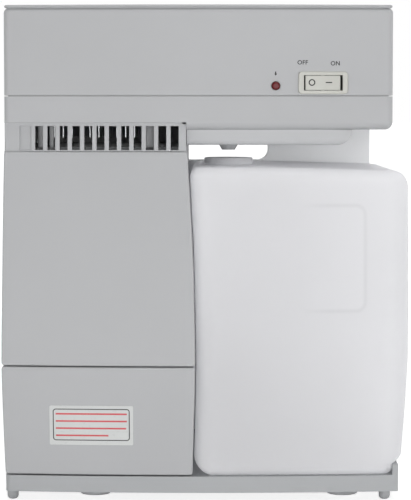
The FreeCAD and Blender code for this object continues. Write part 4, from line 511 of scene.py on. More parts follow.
def make_piece(name, points, faces, material, body, angle=32.0):
    """A mesh object from points in millimetres: doubles merged, faces outwards, smooth below an angle."""
    mesh = bpy.data.meshes.new(name)
    mesh.from_pydata((np.asarray(points) * MM).tolist(), [], np.asarray(faces).tolist())
    work = bmesh.new()
    work.from_mesh(mesh)
    bmesh.ops.remove_doubles(work, verts=work.verts, dist=1e-6)
    bmesh.ops.dissolve_degenerate(work, edges=work.edges, dist=1e-7)
    bmesh.ops.recalc_face_normals(work, faces=work.faces)
    if work.calc_volume(signed=True) < 0:
        bmesh.ops.reverse_faces(work, faces=work.faces)
    work.to_mesh(mesh)
    work.free()
    mesh.polygons.foreach_set("use_smooth", np.ones(len(mesh.polygons), bool))
    mesh.set_sharp_from_angle(angle=math.radians(angle))
    mesh.update()
    made = bpy.data.objects.new(name, mesh)
    bpy.context.scene.collection.objects.link(made)
    mesh.materials.append(material)
    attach(made, body)
    return made


def bent_line(z, knots, blends):
    """Straight runs through knots (z, x), joined by parabolas that reach a blend length each way.

    x = x0 + s0 (z - z0) + sum of the changes of slope times a ramp that starts softly at each knot.
    """
    z = np.asarray(z, float)
    slopes = [(b[1] - a[1]) / (b[0] - a[0]) for a, b in zip(knots, knots[1:])]
    x = knots[0][1] + slopes[0] * (z - knots[0][0])
    for (at, _), blend, before, after in zip(knots[1:-1], blends, slopes, slopes[1:]):
        far = z - at
        ramp = np.where(far <= -blend, 0.0, np.where(far >= blend, far, (far + blend) ** 2 / (4 * blend)))
        x = x + (after - before) * ramp
    return x


def arc_through(z, low, middle, high):
    """Depth on the arc through three points (depth, height), at heights z."""
    (y1, z1), (y2, z2), (y3, z3) = low, middle, high
    a = np.array([[2 * (y1 - y2), 2 * (z1 - z2)], [2 * (y2 - y3), 2 * (z2 - z3)]])
    b = np.array([y1 ** 2 - y2 ** 2 + z1 ** 2 - z2 ** 2, y2 ** 2 - y3 ** 2 + z2 ** 2 - z3 ** 2])
    cy, cz = np.linalg.solve(a, b)
    radius = math.hypot(y1 - cy, z1 - cz)
    return cy - np.sqrt(np.maximum(radius ** 2 - (np.asarray(z, float) - cz) ** 2, 0.0))


def bowed_depth(centre_y, x, bow_radius):
    """Depth at x of a surface bowed in plan: a circle about the bow's axis, at centre_y where x = 0."""
    axis = FRONT_Y + bow_radius
    reach = axis - centre_y
    return axis - np.sqrt(reach ** 2 - np.asarray(x, float) ** 2)


def rounded_rectangle(u0, u1, v0, v1, radius, along, around):
    """Rows of closed rounded rectangles: each side is a line of points, each corner a quarter circle."""
    u0, u1, v0, v1, radius = (np.atleast_1d(np.asarray(k, float))[:, None] for k in (u0, u1, v0, v1, radius))
    s = np.linspace(0, 1, along, endpoint=False)[None, :]
    t = np.linspace(0, math.pi / 2, around, endpoint=False)[None, :]
    sides = (
        (u0 + radius, u1 - radius, v0, v0), (u1, u1, v0 + radius, v1 - radius),
        (u1 - radius, u0 + radius, v1, v1), (u0, u0, v1 - radius, v0 + radius),
    )
    centres = ((u1 - radius, v0 + radius), (u1 - radius, v1 - radius),
               (u0 + radius, v1 - radius), (u0 + radius, v0 + radius))
    us, vs = [], []
    for number, ((ua, ub, va, vb), (cu, cv)) in enumerate(zip(sides, centres)):
        us.append(ua + (ub - ua) * s)
        vs.append(va + (vb - va) * s)
        angle = t + (number - 1) * math.pi / 2
        us.append(cu + radius * np.cos(angle))
        vs.append(cv + radius * np.sin(angle))
    rows = u0.shape[0]
    wide = [np.broadcast_to(part, (rows, part.shape[1])) for part in us]
    tall = [np.broadcast_to(part, (rows, part.shape[1])) for part in vs]
    return np.concatenate(wide, axis=1), np.concatenate(tall, axis=1)


# ---------------------------------------------------------------- places in the frame, in millimetres
RAW_LOW, RAW_HIGH = node_box("raw_tank_front")
TRAY_LOW, TRAY_HIGH = node_box("tray_front")
TANK_LOW, TANK_HIGH = node_box("storage_tank")
HEAD_LOW = node_box("head_cover")[0]
HEAD_AXIS = 1180.0   # depth of the upright axis that the head's face is bowed about
FRONT_Y = min(RAW_LOW[1], TRAY_LOW[1])   # the pull-out fronts' foremost depth
SEAM_Z = (TRAY_HIGH[2] + RAW_LOW[2]) / 2   # height of the seam between them

# The fronts' left and right edges: points of height and x, and how far each inner one is rounded up and down.
FRONTS_LEFT = [(TRAY_LOW[2], HEAD_LOW[0]), (SEAM_Z, HEAD_LOW[0] - 1.5), (RAW_HIGH[2], HEAD_LOW[0])]
FRONTS_RIGHT = [(TRAY_LOW[2], -8.7), (SEAM_Z, -6.6), (163.0, -8.0), (RAW_HIGH[2], -12.0)]
LEFT_BLENDS = (13.7,)
RIGHT_BLENDS = (21.7, 16.5)
# How far a front's face lies behind FRONT_Y at its foot, its middle and its top.
RAW_SUNK = (0.0, 4.4, 13.0)
TRAY_SUNK = (10.5, 3.0, 0.0)
FACE_RINGS, BACK_RINGS, RIM_RINGS = 22, 10, 7   # rings over the face, over the inner face and round an edge
SIDE_POINTS, CORNER_POINTS = 26, 6   # points of a ring along each side and round each corner
FACE_SPACING = 0.8   # below one, the face's rings lie closer together towards its rim
LEAST_CORNER = 0.4   # a ring's corners stay at least this round

# The storage tank's neck and shape. The step in its right side clears the base's upstand.
NECK_X, NECK_Y = ((a + b) / 2 for a, b in zip(*[corner[:2] for corner in node_box("storage_cap")]))
NECK_RADIUS, NECK_WALL, NECK_FILLET, NECK_HEIGHT = 14.25, 1.75, 1.0, 2.6
TANK_TOP = TANK_HIGH[2] - NECK_HEIGHT
STEP_Z, STEP_DEPTH = 25.2, 6.7   # its height, and how far the foot below it stands in
TANK_RIGHT = [(STEP_Z, TANK_HIGH[0] - 3.9), (SEAM_Z, TANK_HIGH[0]), (TANK_TOP, TANK_HIGH[0])]
TANK_RIGHT_BLENDS = (20.0,)
TANK_ARC = ((FRONT_Y + 9.0, TANK_LOW[2]), (FRONT_Y + 1.0, SEAM_Z), (FRONT_Y + 10.0, TANK_TOP))
RIGHT_HEEL, BACK_HEEL, BACK_SHOULDER = 2.5, 3.0, 4.0   # roundings of its lower and upper edges
LEAST_EDGE = 0.6   # an edge's rounding is never less, so that no row of points folds over
FOOT_SHARES = (0.35, 0.66, 0.97)   # where rows of points stand up the foot, below the step
LEAST_RISE = 1.0   # at least this much upright wall between two rounded edges
FALL_LOW, FALL_HIGH = 120.0, 16.0   # the slope of the top fades in from this height to this far below the top
TOP_SLOPE_BLEND = 14.0   # how softly the slope starts
FRONT_COLUMNS, SIDE_COLUMNS, TURN_COLUMNS = 34, 14, 9   # columns of the tank's wall, and round a corner
GRIP_COLUMNS, LEFT_BACK_COLUMNS = 22, 13   # columns of the back wall across the grip, and left of it
EDGE_ROWS, FLOOR_ROWS, TOP_ROWS = 8, 9, 12   # rows of points round an edge, across the floor, over the top
FILLET_ROWS, NECK_ROWS = 5, 9   # rings round the neck's fillet and over its rim
LOW_ROWS, GRIP_ROWS = 20, 34   # rows of points up the wall, below the grip and beside it

# The grip recess: its lowest and highest x and z, its corners, the edge of its floor, and its taper.
GRIP = (TANK_HIGH[0] - 64.7, TANK_HIGH[0] - 19.5, TANK_TOP - 112.0, TANK_TOP - 31.7)
GRIP_CORNER, GRIP_FLOOR_EDGE, GRIP_TAPER = 9.0, 4.0, 1.0
GRIP_EDGE_RINGS, GRIP_SIDE_RINGS, GRIP_FLOOR_RINGS = 5, 11, 7   # round each edge, down the side, on the floor
GRIP_LEFT_MARGIN, GRIP_LOW_MARGIN, GRIP_HIGH_MARGIN = 4.0, 5.5, 6.0   # wall round it that is meshed anew
LEVELS_LOW, LEVELS_HIGH = 34.0, 10.5   # those rows start at this height and end this far above the grip
OUTER_MOUTH, INNER_MOUTH = 1.5, 0.5   # rounding of the recess's mouth in the outer and the inner skin
# Where it shows through the front wall, painted there as a paler field of painted light with a darker rim of
# painted shade: lower left and upper right corner (x, z), corner radius and blur.
GRIP_PAINTED_THROUGH = ((62.0, 129.0), (105.5, 198.5), 6.0, 2.2)
FRONT_WALL = (FRONT_Y + 18.0, FRONT_Y + 30.0)   # depths between which the outline fades out round the corner

SPRING_TURNS, TURN_STATIONS, WIRE_SIDES = 4, 36, 12   # of the valve's spring

# The printed marks.
SWITCH_WORDS = (("OFF", -13.6, 13.5), ("ON", 8.0, 12.9))   # across and up from the switch's middle
ARROW_HEIGHTS = (4.6, 3.8, 3.3, 3.25, 2.6, 2.0)   # the lamp's arrow above its top, from the tail to the tip
ARROW_WIDTHS = (0.8, 0.8, 0.8, 1.8, 1.1, 0.15)
ROCKER_MARK_Z = 0.2   # height of the ring and the bar above the switch's middle
RING_X, RING_RADIUS = -7.5, 1.85   # the rocker's off mark, from the switch's middle
BAR_X, BAR_LENGTH, BAR_WIDTH = 3.7, 4.2, 0.7   # the rocker's on mark
RING_STATIONS, BAR_STATIONS, RULE_STATIONS = 48, 15, 40   # points along each line
BORDER_SIDE_POINTS, BORDER_CORNER_POINTS = 24, 8
BORDER_SIDE, BORDER_FOOT, BORDER_TOP, BORDER_CORNER = 2.6, 3.3, 2.4, 1.7   # from the film's edges
BORDER_THINNER = 0.15   # how much thinner than the rocker's ring the border is
RULE_SIDE, RULE_TOP, RULE_PITCH, RULE_WIDTH = 4.2, 5.6, 4.9, 1.1   # the ruled lines, from the film's edges
RULE_SHARES = (1.0, 1.0, 0.99, 0.74)   # how much of the film's width each ruled line takes


# ---------------------------------------------------------------- operators
class FinishHousing(bpy.types.Operator):
    """Gives the moulded housing shells their satin ABS"""

    bl_idname = "distiller.finish_housing"
    bl_label = "Finish housing"

    def execute(self, context):
        tint = context.scene.distiller_colours
        finish_nodes(housing_plastic(context), "column_shell", "rear_cover", "head_chassis", "head_cover",
                     "lid_plate", "bottom_cover")
        finish_nodes(finish_of("Satin moulded ABS, base grey", moulded_plastic, tint.base), "base")
        finish_nodes(finish_of("Satin moulded ABS, light grey", moulded_plastic, tint.drip_cover),
                     "drip_cover", "drip_nozzle", "condenser_clamp")
        finish_nodes(finish_of("Satin moulded ABS, white", moulded_plastic, tint.wall), "back_panel",
                     "valve_body", "valve_spider", "feed_socket", "filter_cup")
        return {"FINISHED"}


def front_panel(low, high, sunk_by, sizes):
    """One pull-out front, filling the box from low to high, as rows of closed rings.

    The rings run out over the face, round the rim, back along the sides, round the wall's end and in again
    over the inner face. Each is a rounded rectangle, moved in by an inset, drawn in to its middle by a
    spread, and stretched between the bent left and right edges. Its depth is the bow plus an arc in height.
    """
    rim, wall = sizes.front_rim, sizes.front_wall
    middle_z = (low[2] + high[2]) / 2
    arc = [(FRONT_Y + sunk, z) for sunk, z in zip(sunk_by, (low[2], middle_z, high[2]))]
    turn = np.linspace(0, math.pi / 2, RIM_RINGS)
    spread = np.concatenate([
        np.linspace(0.0, 1.0, FACE_RINGS) ** FACE_SPACING,
        np.ones(2 * RIM_RINGS + 2),
        np.linspace(1.0, 0.0, BACK_RINGS),
    ])
    inset = np.concatenate([
        np.full(FACE_RINGS, rim),
        rim * (1 - np.sin(turn)),
        [0.0],
        wall / 2 * (1 - np.cos(turn)),
        [wall],
        np.full(BACK_RINGS, wall),
    ])
    sunk = np.concatenate([np.zeros(FACE_RINGS), rim * (1 - np.cos(turn))])
    width = np.mean([k[1] for k in FRONTS_RIGHT]) - np.mean([k[1] for k in FRONTS_LEFT])
    radius = np.maximum(sizes.front_corner - inset, LEAST_CORNER)
    u, v = rounded_rectangle(inset, width - inset, low[2] + inset, high[2] - inset, radius,
                             SIDE_POINTS, CORNER_POINTS)
    u = width / 2 + (u - width / 2) * spread[:, None]
    v = middle_z + (v - middle_z) * spread[:, None]
    left = bent_line(v, FRONTS_LEFT, LEFT_BLENDS)
    right = bent_line(v, FRONTS_RIGHT, RIGHT_BLENDS)
    x = left + u / width * (right - left)
    face = bowed_depth(arc_through(v, *arc), x, sizes.bow_radius)
    end = high[1] - wall / 2
    first, last = len(sunk), len(sunk) + 1 + RIM_RINGS
    y = np.empty_like(face)
    y[:first] = face[:first] + sunk[:, None]
    y[first] = end
    y[first + 1:last] = end + (wall / 2 * np.sin(turn))[:, None]
    y[last] = end
    y[last + 1:] = face[last + 1:] + wall
    points = np.stack([x, y, v], axis=-1)
    return points.reshape(-1, 3), grid_faces(*u.shape)


class MouldFronts(bpy.types.Operator):
    """Moulds the bowed fronts of the raw water tank and of the boiling tray"""

    bl_idname = "distiller.mould_fronts"
    bl_label = "Mould pull-out fronts"

    def execute(self, context):
        sizes, housing = context.scene.distiller_sizes, housing_plastic(context)
        points, faces = front_panel(RAW_LOW, RAW_HIGH, RAW_SUNK, sizes)
        made = make_piece("raw_tank_front_moulding", points, faces, housing, "raw_tank")
        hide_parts("raw_tank_front")
        points, faces = front_panel(TRAY_LOW, TRAY_HIGH, TRAY_SUNK, sizes)
        made = make_piece("tray_front_moulding", points, faces, housing, "boiling_tray")
        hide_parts("tray_front")
        return {"FINISHED"}


def section_columns(corner, back):
    """Columns of the tank's upright wall, anticlockwise in plan from the front's left end.

    A column's place is a share of the width and of the depth plus a fixed offset, so that one description
    holds at every height: x = left + share (right - left) + offset, and the same for the depth. The back's
    columns stand at the shares given, counted from its right end.
    """
    turn = np.linspace(0, math.pi / 2, TURN_COLUMNS, endpoint=False)
    front = np.linspace(0, 1, FRONT_COLUMNS, endpoint=False)
    side = np.linspace(0, 1, SIDE_COLUMNS, endpoint=False)
    none = np.zeros_like
    parts = []

    def straight(across, across_off, deep, deep_off, nx, ny):
        parts.append((across, across_off, deep, deep_off, none(across) + nx, none(across) + ny))

    def corner_arc(across, deep, start):
        c, s = np.cos(turn + start), np.sin(turn + start)
        parts.append((none(turn) + across, corner * (c - (2 * across - 1)), none(turn) + deep,
                      corner * (s - (2 * deep - 1)), c, s))

    straight(front, corner * (1 - 2 * front), none(front), none(front), 0, -1)
    corner_arc(1, 0, -math.pi / 2)
    straight(none(side) + 1, none(side), side, corner * (1 - 2 * side), 1, 0)
    corner_arc(1, 1, 0)
    straight(1 - back, -corner * (1 - 2 * back), none(back) + 1, none(back), 0, 1)
    corner_arc(0, 1, math.pi / 2)
    straight(none(side), none(side), 1 - side, -corner * (1 - 2 * side), -1, 0)
    corner_arc(0, 0, math.pi)
    return [np.concatenate(column) for column in zip(*parts)]


def by_side(nx, ny, left, right, front, back):
    """A value for each side of the tank, blended round its corners by the squares of the normal."""
    return (left * np.minimum(nx, 0) ** 2 + right * np.maximum(nx, 0) ** 2
            + front * np.minimum(ny, 0) ** 2 + back * np.maximum(ny, 0) ** 2)


def tank_fall(x, fall):
    """How far the tank's top has fallen at x: nothing as far as the neck, then a straight slope."""
    start = NECK_X + 2 * NECK_RADIUS
    slope = fall / (TANK_HIGH[0] - start)
    return bent_line(x, [(start - 1, 0.0), (start, 0.0), (start + 1, slope)], (TOP_SLOPE_BLEND,))


def tank_skin(sizes, columns, levels, inner):
    """One skin of the tank, from the middle of its floor up to the circle at the foot of its neck.

    A row has a height and an inset along the plan's normal. Both follow quarter circles at the floor's
    edge, at the step above the base's rim and at the top's edge. The top is sheared down to the right, and
    its rings then close on the neck, each point on a straight line to the circle at its own angle.
    """
    share, offset, deep, deep_offset, nx, ny = columns
    wide = by_side(nx, ny, 0.0, 1.0, 0.0, 0.0)
    edge = sizes.tank_edge
    low_edge = by_side(nx, ny, sizes.tank_heel, RIGHT_HEEL, edge, BACK_HEEL)
    top_edge = by_side(nx, ny, edge, sizes.tank_shoulder, edge, BACK_SHOULDER)
    low_edge, top_edge, step_edge = (np.maximum(k - inner, LEAST_EDGE) for k in (low_edge, top_edge, edge))
    floor, top, step = TANK_LOW[2] + inner, TANK_TOP - inner, STEP_Z + inner
    quarter = np.linspace(0, math.pi / 2, EDGE_ROWS)[:, None]
    flat = np.ones((1, len(nx)))
    foot = wide * STEP_DEPTH
    lift = np.maximum(step - floor, low_edge + LEAST_RISE)
    highest = floor + lift.max() + step_edge + LEAST_RISE
    rows = [
        (floor + low_edge * (1 - np.cos(quarter)), low_edge * (1 - np.sin(quarter)) + foot),
        (np.array(FOOT_SHARES)[:, None] * (lift - low_edge) + floor + low_edge, foot + 0 * flat),
        (floor + lift * flat, foot + 0 * flat),
        (floor + lift + step_edge * (1 - np.cos(quarter)), step_edge * wide * (1 - np.sin(quarter))),
        (levels[levels > highest][:, None] * flat, 0.0 * flat),
        (top - top_edge * (1 - np.sin(quarter)), top_edge * (1 - np.cos(quarter))),
    ]
    z, e = (np.concatenate([np.broadcast_to(r[k], np.broadcast_shapes(r[0].shape, r[1].shape)) for r in rows])
            for k in (0, 1))
    left_knots = [(k, x + sizes.tank_gap) for k, x in FRONTS_RIGHT]

    def place(height):
        left = bent_line(height, left_knots, RIGHT_BLENDS)
        right = bent_line(height, TANK_RIGHT, TANK_RIGHT_BLENDS)
        x = left + share * (right - left) + offset
        front = bowed_depth(arc_through(height, *TANK_ARC), x, sizes.bow_radius)
        depth = TANK_HIGH[1] - front
        return x - nx * (e + inner), front + (deep * depth + deep_offset) - ny * (e + inner)

    x, y = place(z)
    ease = np.clip((z - FALL_LOW) / (top - FALL_HIGH - FALL_LOW), 0, 1)
    z = z - tank_fall(x, sizes.tank_fall) * ease ** 2 * (3 - 2 * ease)
    x, y = place(z)
    shrink = np.linspace(0, 1, FLOOR_ROWS)[:-1, None]
    cx, cy = x[0].mean(), y[0].mean()
    bottom = (cx + (x[0] - cx) * shrink, cy + (y[0] - cy) * shrink, floor + 0 * shrink * flat)
    angle = np.arctan2(y[-1] - NECK_Y, x[-1] - NECK_X)
    close = np.linspace(0, 1, TOP_ROWS)[1:, None]
    ring = NECK_RADIUS + NECK_FILLET if inner == 0 else NECK_RADIUS - NECK_WALL
    cap_x = x[-1] + (NECK_X + ring * np.cos(angle) - x[-1]) * close
    cap_y = y[-1] + (NECK_Y + ring * np.sin(angle) - y[-1]) * close
    cap_z = top - tank_fall(cap_x, sizes.tank_fall)
    parts = zip(bottom, (x, y, z), (cap_x, cap_y, cap_z))
    return [np.concatenate(part) for part in parts], angle


def grip_rings(loop, grow, depth, mouth):
    """Rings of the grip recess, from a loop in the back wall round the mouth and down to the floor's middle.

    Each ring is the loop's points thrown on a rounded rectangle: the nearest point of its core, plus the
    corner radius less an inset, along the line between them. The mouth and the floor's edge are quarter
    circles, and on the floor the last ring shrinks to its middle.
    """
    corner, back = GRIP_CORNER + grow, loop[0, 1]
    low = np.array([GRIP[0] - grow, GRIP[2] - grow])
    high = np.array([GRIP[1] + grow, GRIP[3] + grow])
    flat = loop[:, [0, 2]]
    core = np.clip(flat, low + corner, high - corner)
    way = (flat - core) / np.linalg.norm(flat - core, axis=1)[:, None]
    turn = np.linspace(0, math.pi / 2, GRIP_EDGE_RINGS)
    down = np.linspace(0, 1, GRIP_SIDE_RINGS)[1:-1]
    bottom = GRIP_FLOOR_EDGE + grow
    inset = np.concatenate([
        -mouth * (1 - np.sin(turn)),
        GRIP_TAPER * down,
        GRIP_TAPER + bottom * (1 - np.cos(turn)),
    ])
    sunk = np.concatenate([
        mouth * (1 - np.cos(turn)),
        mouth + (depth - bottom - mouth) * down,
        depth - bottom * (1 - np.sin(turn)),
    ])
    rings = core + way * (corner - inset)[:, None, None]
    middle = (low + high) / 2
    shrink = np.linspace(1, 0, GRIP_FLOOR_RINGS)[1:, None, None]
    floor = middle + (rings[-1] - middle) * shrink
    plan = np.concatenate([rings, floor])
    y = np.concatenate([back - sunk, np.full(len(floor), back - depth)])
    return np.stack([plan[..., 0], np.broadcast_to(y[:, None], plan.shape[:2]), plan[..., 1]], axis=-1)


def block_loop(rows, columns, width):
    """Vertex numbers round a block of grid cells, and the cells' own numbers."""
    (i0, i1), (j0, j1) = rows, columns
    i, j = np.arange(i0, i1), np.arange(j0, j1)
    loop = np.concatenate([
        i0 * width + j,
        i * width + j1,
        i1 * width + j[::-1] + 1,
        i[::-1] * width + j0 + width,
    ])
    cells = (i[:, None] * width + j[None, :]).ravel()
    return loop, cells


def tank_neck(angle):
    """The neck's rings: a fillet up from the top, the outer side, round the rim, and the inner side.

    A ring is a circle about the neck's middle, with its points at the angles given.
    """
    fillet = np.linspace(0, math.pi / 2, FILLET_ROWS)[1:]
    rim = np.linspace(0, math.pi, NECK_ROWS)
    half = NECK_WALL / 2
    radius = np.concatenate([
        NECK_RADIUS + NECK_FILLET * (1 - np.sin(fillet)),
        NECK_RADIUS - half + half * np.cos(rim),
    ])
    height = np.concatenate([
        TANK_TOP + NECK_FILLET * (1 - np.cos(fillet)),
        TANK_HIGH[2] - half + half * np.sin(rim),
    ])
    radius, height = radius[:, None], height[:, None]
    return NECK_X + radius * np.cos(angle), NECK_Y + radius * np.sin(angle), height + 0 * angle


def storage_tank_shell(sizes):
    """The tank's closed shell: outer skin, neck, inner skin, and a grip recess let into each back wall."""
    wall_right, wall_left = TANK_HIGH[0] - sizes.tank_corner, GRIP[0] - GRIP_LEFT_MARGIN
    span = wall_right - (FRONTS_RIGHT[1][1] + sizes.tank_gap + sizes.tank_corner)
    stops = np.concatenate([
        np.linspace(wall_right, wall_left, GRIP_COLUMNS),
        np.linspace(wall_left, wall_right - span, LEFT_BACK_COLUMNS)[1:-1],
    ])
    columns = section_columns(sizes.tank_corner, (wall_right - stops) / span)
    first = FRONT_COLUMNS + SIDE_COLUMNS + 2 * TURN_COLUMNS
    block = (first, first + GRIP_COLUMNS - 1)
    grip_low, grip_high = GRIP[2] - GRIP_LOW_MARGIN, GRIP[3] + GRIP_HIGH_MARGIN
    levels = np.concatenate([
        np.linspace(LEVELS_LOW, grip_low, LOW_ROWS),
        np.linspace(grip_low, GRIP[3] + LEVELS_HIGH, GRIP_ROWS)[1:],
    ])
    outer, angle = tank_skin(sizes, columns, levels, 0.0)
    inner = tank_skin(sizes, columns, levels, sizes.tank_wall)[0]
    x, y, z = (np.concatenate([a, b, c[::-1]]) for a, b, c in zip(outer, tank_neck(angle), inner))
    count, width = x.shape
    points = [np.stack([x, y, z], axis=-1).reshape(-1, 3)]
    faces = [grid_faces(count, width)]
    keep = np.ones(len(faces[0]), bool)
    start = count * width
    height = outer[2][:, block[0]]
    on_back = np.abs(outer[1][:, block[0]] - TANK_HIGH[1]) < 1e-6
    rows = np.flatnonzero((height > grip_low - 0.1) & (height < grip_high) & on_back)
    for first_row, last_row, grow, mouth in (
        (rows[0], rows[-1], 0.0, OUTER_MOUTH),
        (count - 1 - rows[-1], count - 1 - rows[0], sizes.tank_wall, INNER_MOUTH),
    ):
        loop, cells = block_loop((first_row, last_row), block, width)
        keep[cells] = False
        rings = grip_rings(points[0][loop], grow, sizes.grip_depth, mouth)
        added = start + np.arange(rings.shape[0] * len(loop)).reshape(-1, len(loop))
        number = np.concatenate([loop[None, :], added])
        across = np.roll(number, -1, axis=1)
        faces.append(np.stack([number[:-1], across[:-1], across[1:], number[1:]], axis=-1).reshape(-1, 4))
        points.append(rings.reshape(-1, 3))
        start += added.size
    faces[0] = faces[0][keep]
    return np.concatenate(points), np.concatenate(faces)


class MouldStorageTank(bpy.types.Operator):
    """Blow-moulds the storage tank, with its neck and the grip recess in its back"""

    bl_idname = "distiller.mould_storage_tank"
    bl_label = "Mould storage tank"

    def execute(self, context):
        sizes, tint = context.scene.distiller_sizes, context.scene.distiller_colours
        # the storage tank's front wall carries the grip recess's painted light and shade
        frosted = finish_of("Frosted blow-moulded polypropylene, storage tank", frosted_polypropylene,
                            tint.tank, recess=GRIP_PAINTED_THROUGH)
        points, faces = storage_tank_shell(sizes)
        made = make_piece("storage_tank_moulding", points, faces, frosted, "storage_tank",
                          angle=50.0)
        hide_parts("storage_tank")
        return {"FINISHED"}


class FinishTank(bpy.types.Operator):
    """Finishes the raw water tank, the storage tank's cap and the filter's carbon"""

    bl_idname = "distiller.finish_tank"
    bl_label = "Finish tanks"

    def execute(self, context):
        tint = context.scene.distiller_colours
        frosted = finish_of("Frosted blow-moulded polypropylene", frosted_polypropylene, tint.tank)
        finish_nodes(frosted, "raw_tank", "storage_cap")
        finish_nodes(finish_of("Granular carbon in mesh", loose_carbon, linear("#1A1A1C")), "filter_carbon")
        return {"FINISHED"}


class FinishSwitch(bpy.types.Operator):
    """Finishes the rocker switch and the lamp"""

    bl_idname = "distiller.finish_switch"
    bl_label = "Finish switch and lamp"

    def execute(self, context):
        tint = context.scene.distiller_colours
        cream = finish_of("Moulded switch plastic", moulded_plastic, tint.switch, roughness=0.38,
                          grain_mm=0.35, depth_mm=0.004, edge_mm=0.35)
        finish_nodes(cream, "switch_bezel", "switch_rocker")
        low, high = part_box("refill_lamp")
        centre = [(a + b) / 2 for a, b in zip(low, high)]
        lens = finish_of("Tinted acrylic lens", tinted_lens, tint.lamp, centre, (high[2] - low[2]) / 2)
        finish_nodes(lens, "refill_lamp")
        return {"FINISHED"}


class FinishMetal(bpy.types.Operator):
    """Finishes the stainless, aluminium, brass and plated pieces"""

    bl_idname = "distiller.finish_metal"
    bl_label = "Finish metalwork"

    def execute(self, context):
        finish_nodes(stainless_steel(), "boiling_pan", "steam_hood", "steam_pipe", "condenser_tube", "heater",
                     "solenoid_pin", "fan_shaft")
        finish_nodes(finish_of("Bright aluminium sheet", rolled_metal, linear("#D6D8DA"), 0.34),
                     "condenser_fins")
        finish_nodes(finish_of("Passivated steel can", rolled_metal, linear("#8C8C90"), 0.42),
                     "feed_solenoid", "fan_motor", "thermostat")
        finish_nodes(finish_of("Turned brass", rolled_metal, linear("#C9A55A"), 0.28), "valve_plunger",
                     "heater_prongs", "switch_terminals", "inlet_pins")
        finish_nodes(finish_of("Zinc plated steel", rolled_metal, linear("#BFC1C4"), 0.33), "housing_screws",
                     "inlet_screws")
        return {"FINISHED"}


class FinishFittings(bpy.types.Operator):
    """Finishes rubber, silicone, dark nylon, the control board and the harness"""

    bl_idname = "distiller.finish_fittings"
    bl_label = "Finish fittings"

    def execute(self, context):
        tint = context.scene.distiller_colours
        finish_nodes(finish_of("Grey pressed rubber", soft_rubber, tint.feet, 0.75),
                     "corner_feet", "pad_feet")
        finish_nodes(finish_of("Milky silicone", soft_rubber, linear("#D8D6CF"), 0.5, clear=0.25),
                     "raw_cap_seal", "feed_tube", "hood_gasket", "steam_coupling")
        nylon = finish_of("Dark moulded nylon", moulded_plastic, tint.dark, roughness=0.55, grain_mm=0.6)
        finish_nodes(nylon, "raw_tank_cap", "tray_tub", "heater_plug", "heater_socket", "fan_frame",
                     "fan_rotor", "switch_body", "board_components", "inlet_socket", "wiring_harness")
        finish_nodes(finish_of("Solder masked laminate", board_laminate, linear("#1F6B3A")), "control_board")
        return {"FINISHED"}


def coil_spring(low, high, wire, turns):
    """A coil spring that fills a box along y.

    The wire's middle is the helix x = cx + r cos t, z = cz + r sin t, with y rising evenly. Each station is a
    circle about it, spanned by the outward way and the way across both that and the helix, and a point in
    the middle of each end closes the wire.
    """
    radius = (high[0] - low[0] - wire) / 2
    t = np.linspace(0, 2 * math.pi * turns, TURN_STATIONS * turns + 1)
    rise = (high[1] - low[1] - wire) / t[-1]
    outward = np.stack([np.cos(t), 0 * t, np.sin(t)], axis=-1)
    along = np.stack([-radius * np.sin(t), rise + 0 * t, radius * np.cos(t)], axis=-1)
    across = np.cross(outward, along) / np.linalg.norm(along, axis=1)[:, None]
    start = np.array([(low[0] + high[0]) / 2, low[1] + wire / 2, (low[2] + high[2]) / 2])
    middle = start + radius * outward + np.array([0.0, rise, 0.0]) * t[:, None]
    angle = np.linspace(0, 2 * math.pi, WIRE_SIDES, endpoint=False)[None, :, None]
    rings = middle[:, None] + wire / 2 * (outward[:, None] * np.cos(angle) + across[:, None] * np.sin(angle))
    ends = np.repeat(middle[[0, -1], None], WIRE_SIDES, axis=1)
    rings = np.concatenate([ends[:1], rings, ends[1:]])
    return rings.reshape(-1, 3), grid_faces(*rings.shape[:2])


class WindSpring(bpy.types.Operator):
    """Winds the valve's coil spring at one length; the real one shortens as the plunger comes forward"""

    bl_idname = "distiller.wind_spring"
    bl_label = "Wind valve spring"

    def execute(self, context):
        low, high = node_box("valve_spring")
        points, faces = coil_spring(low, high, context.scene.distiller_sizes.spring_wire, SPRING_TURNS)
        made = make_piece("valve_spring_coil", points, faces, stainless_steel(), "raw_tank")
        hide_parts("valve_spring")
        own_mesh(made)
        return {"FINISHED"}


def front_points(name):
    """The corners of a CAD node's faces that look forward, in millimetres."""
    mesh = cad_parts[name].data
    count = len(mesh.polygons)
    normals, corners = np.empty(count * 3), np.empty(count * 3, int)
    mesh.polygons.foreach_get("normal", normals)
    mesh.polygons.foreach_get("vertices", corners)
    points = np.empty(len(mesh.vertices) * 3)
    mesh.vertices.foreach_get("co", points)
    forward = normals.reshape(-1, 3)[:, 1] < -0.9
    return points.reshape(-1, 3)[np.unique(corners.reshape(-1, 3)[forward])] / MM


def crowned_face(name):
    """The forward face of a node as y = a + b x + c z + d x^2 + e z^2 + f x z, by least squares."""
    x, y, z = front_points(name).T
    terms = np.stack([np.ones_like(x), x, z, x * x, z * z, x * z], axis=-1)
    a, b, c, d, e, f = np.linalg.lstsq(terms, y, rcond=None)[0]
    return lambda u, v: a + b * u + c * v + d * u * u + e * v * v + f * u * v


def valley_face(name):
    """The forward face of a node that keeps one section all the way up: y read off that section at x."""
    x, y = front_points(name).T[:2]
    order = np.argsort(x)
    return lambda u, v: np.interp(u, x[order], y[order])


def head_face(u, v):
    """The head's bowed face: y = axis - sqrt(radius^2 - x^2)."""
    return HEAD_AXIS - np.sqrt((HEAD_AXIS - HEAD_LOW[1]) ** 2 - np.asarray(u, float) ** 2)


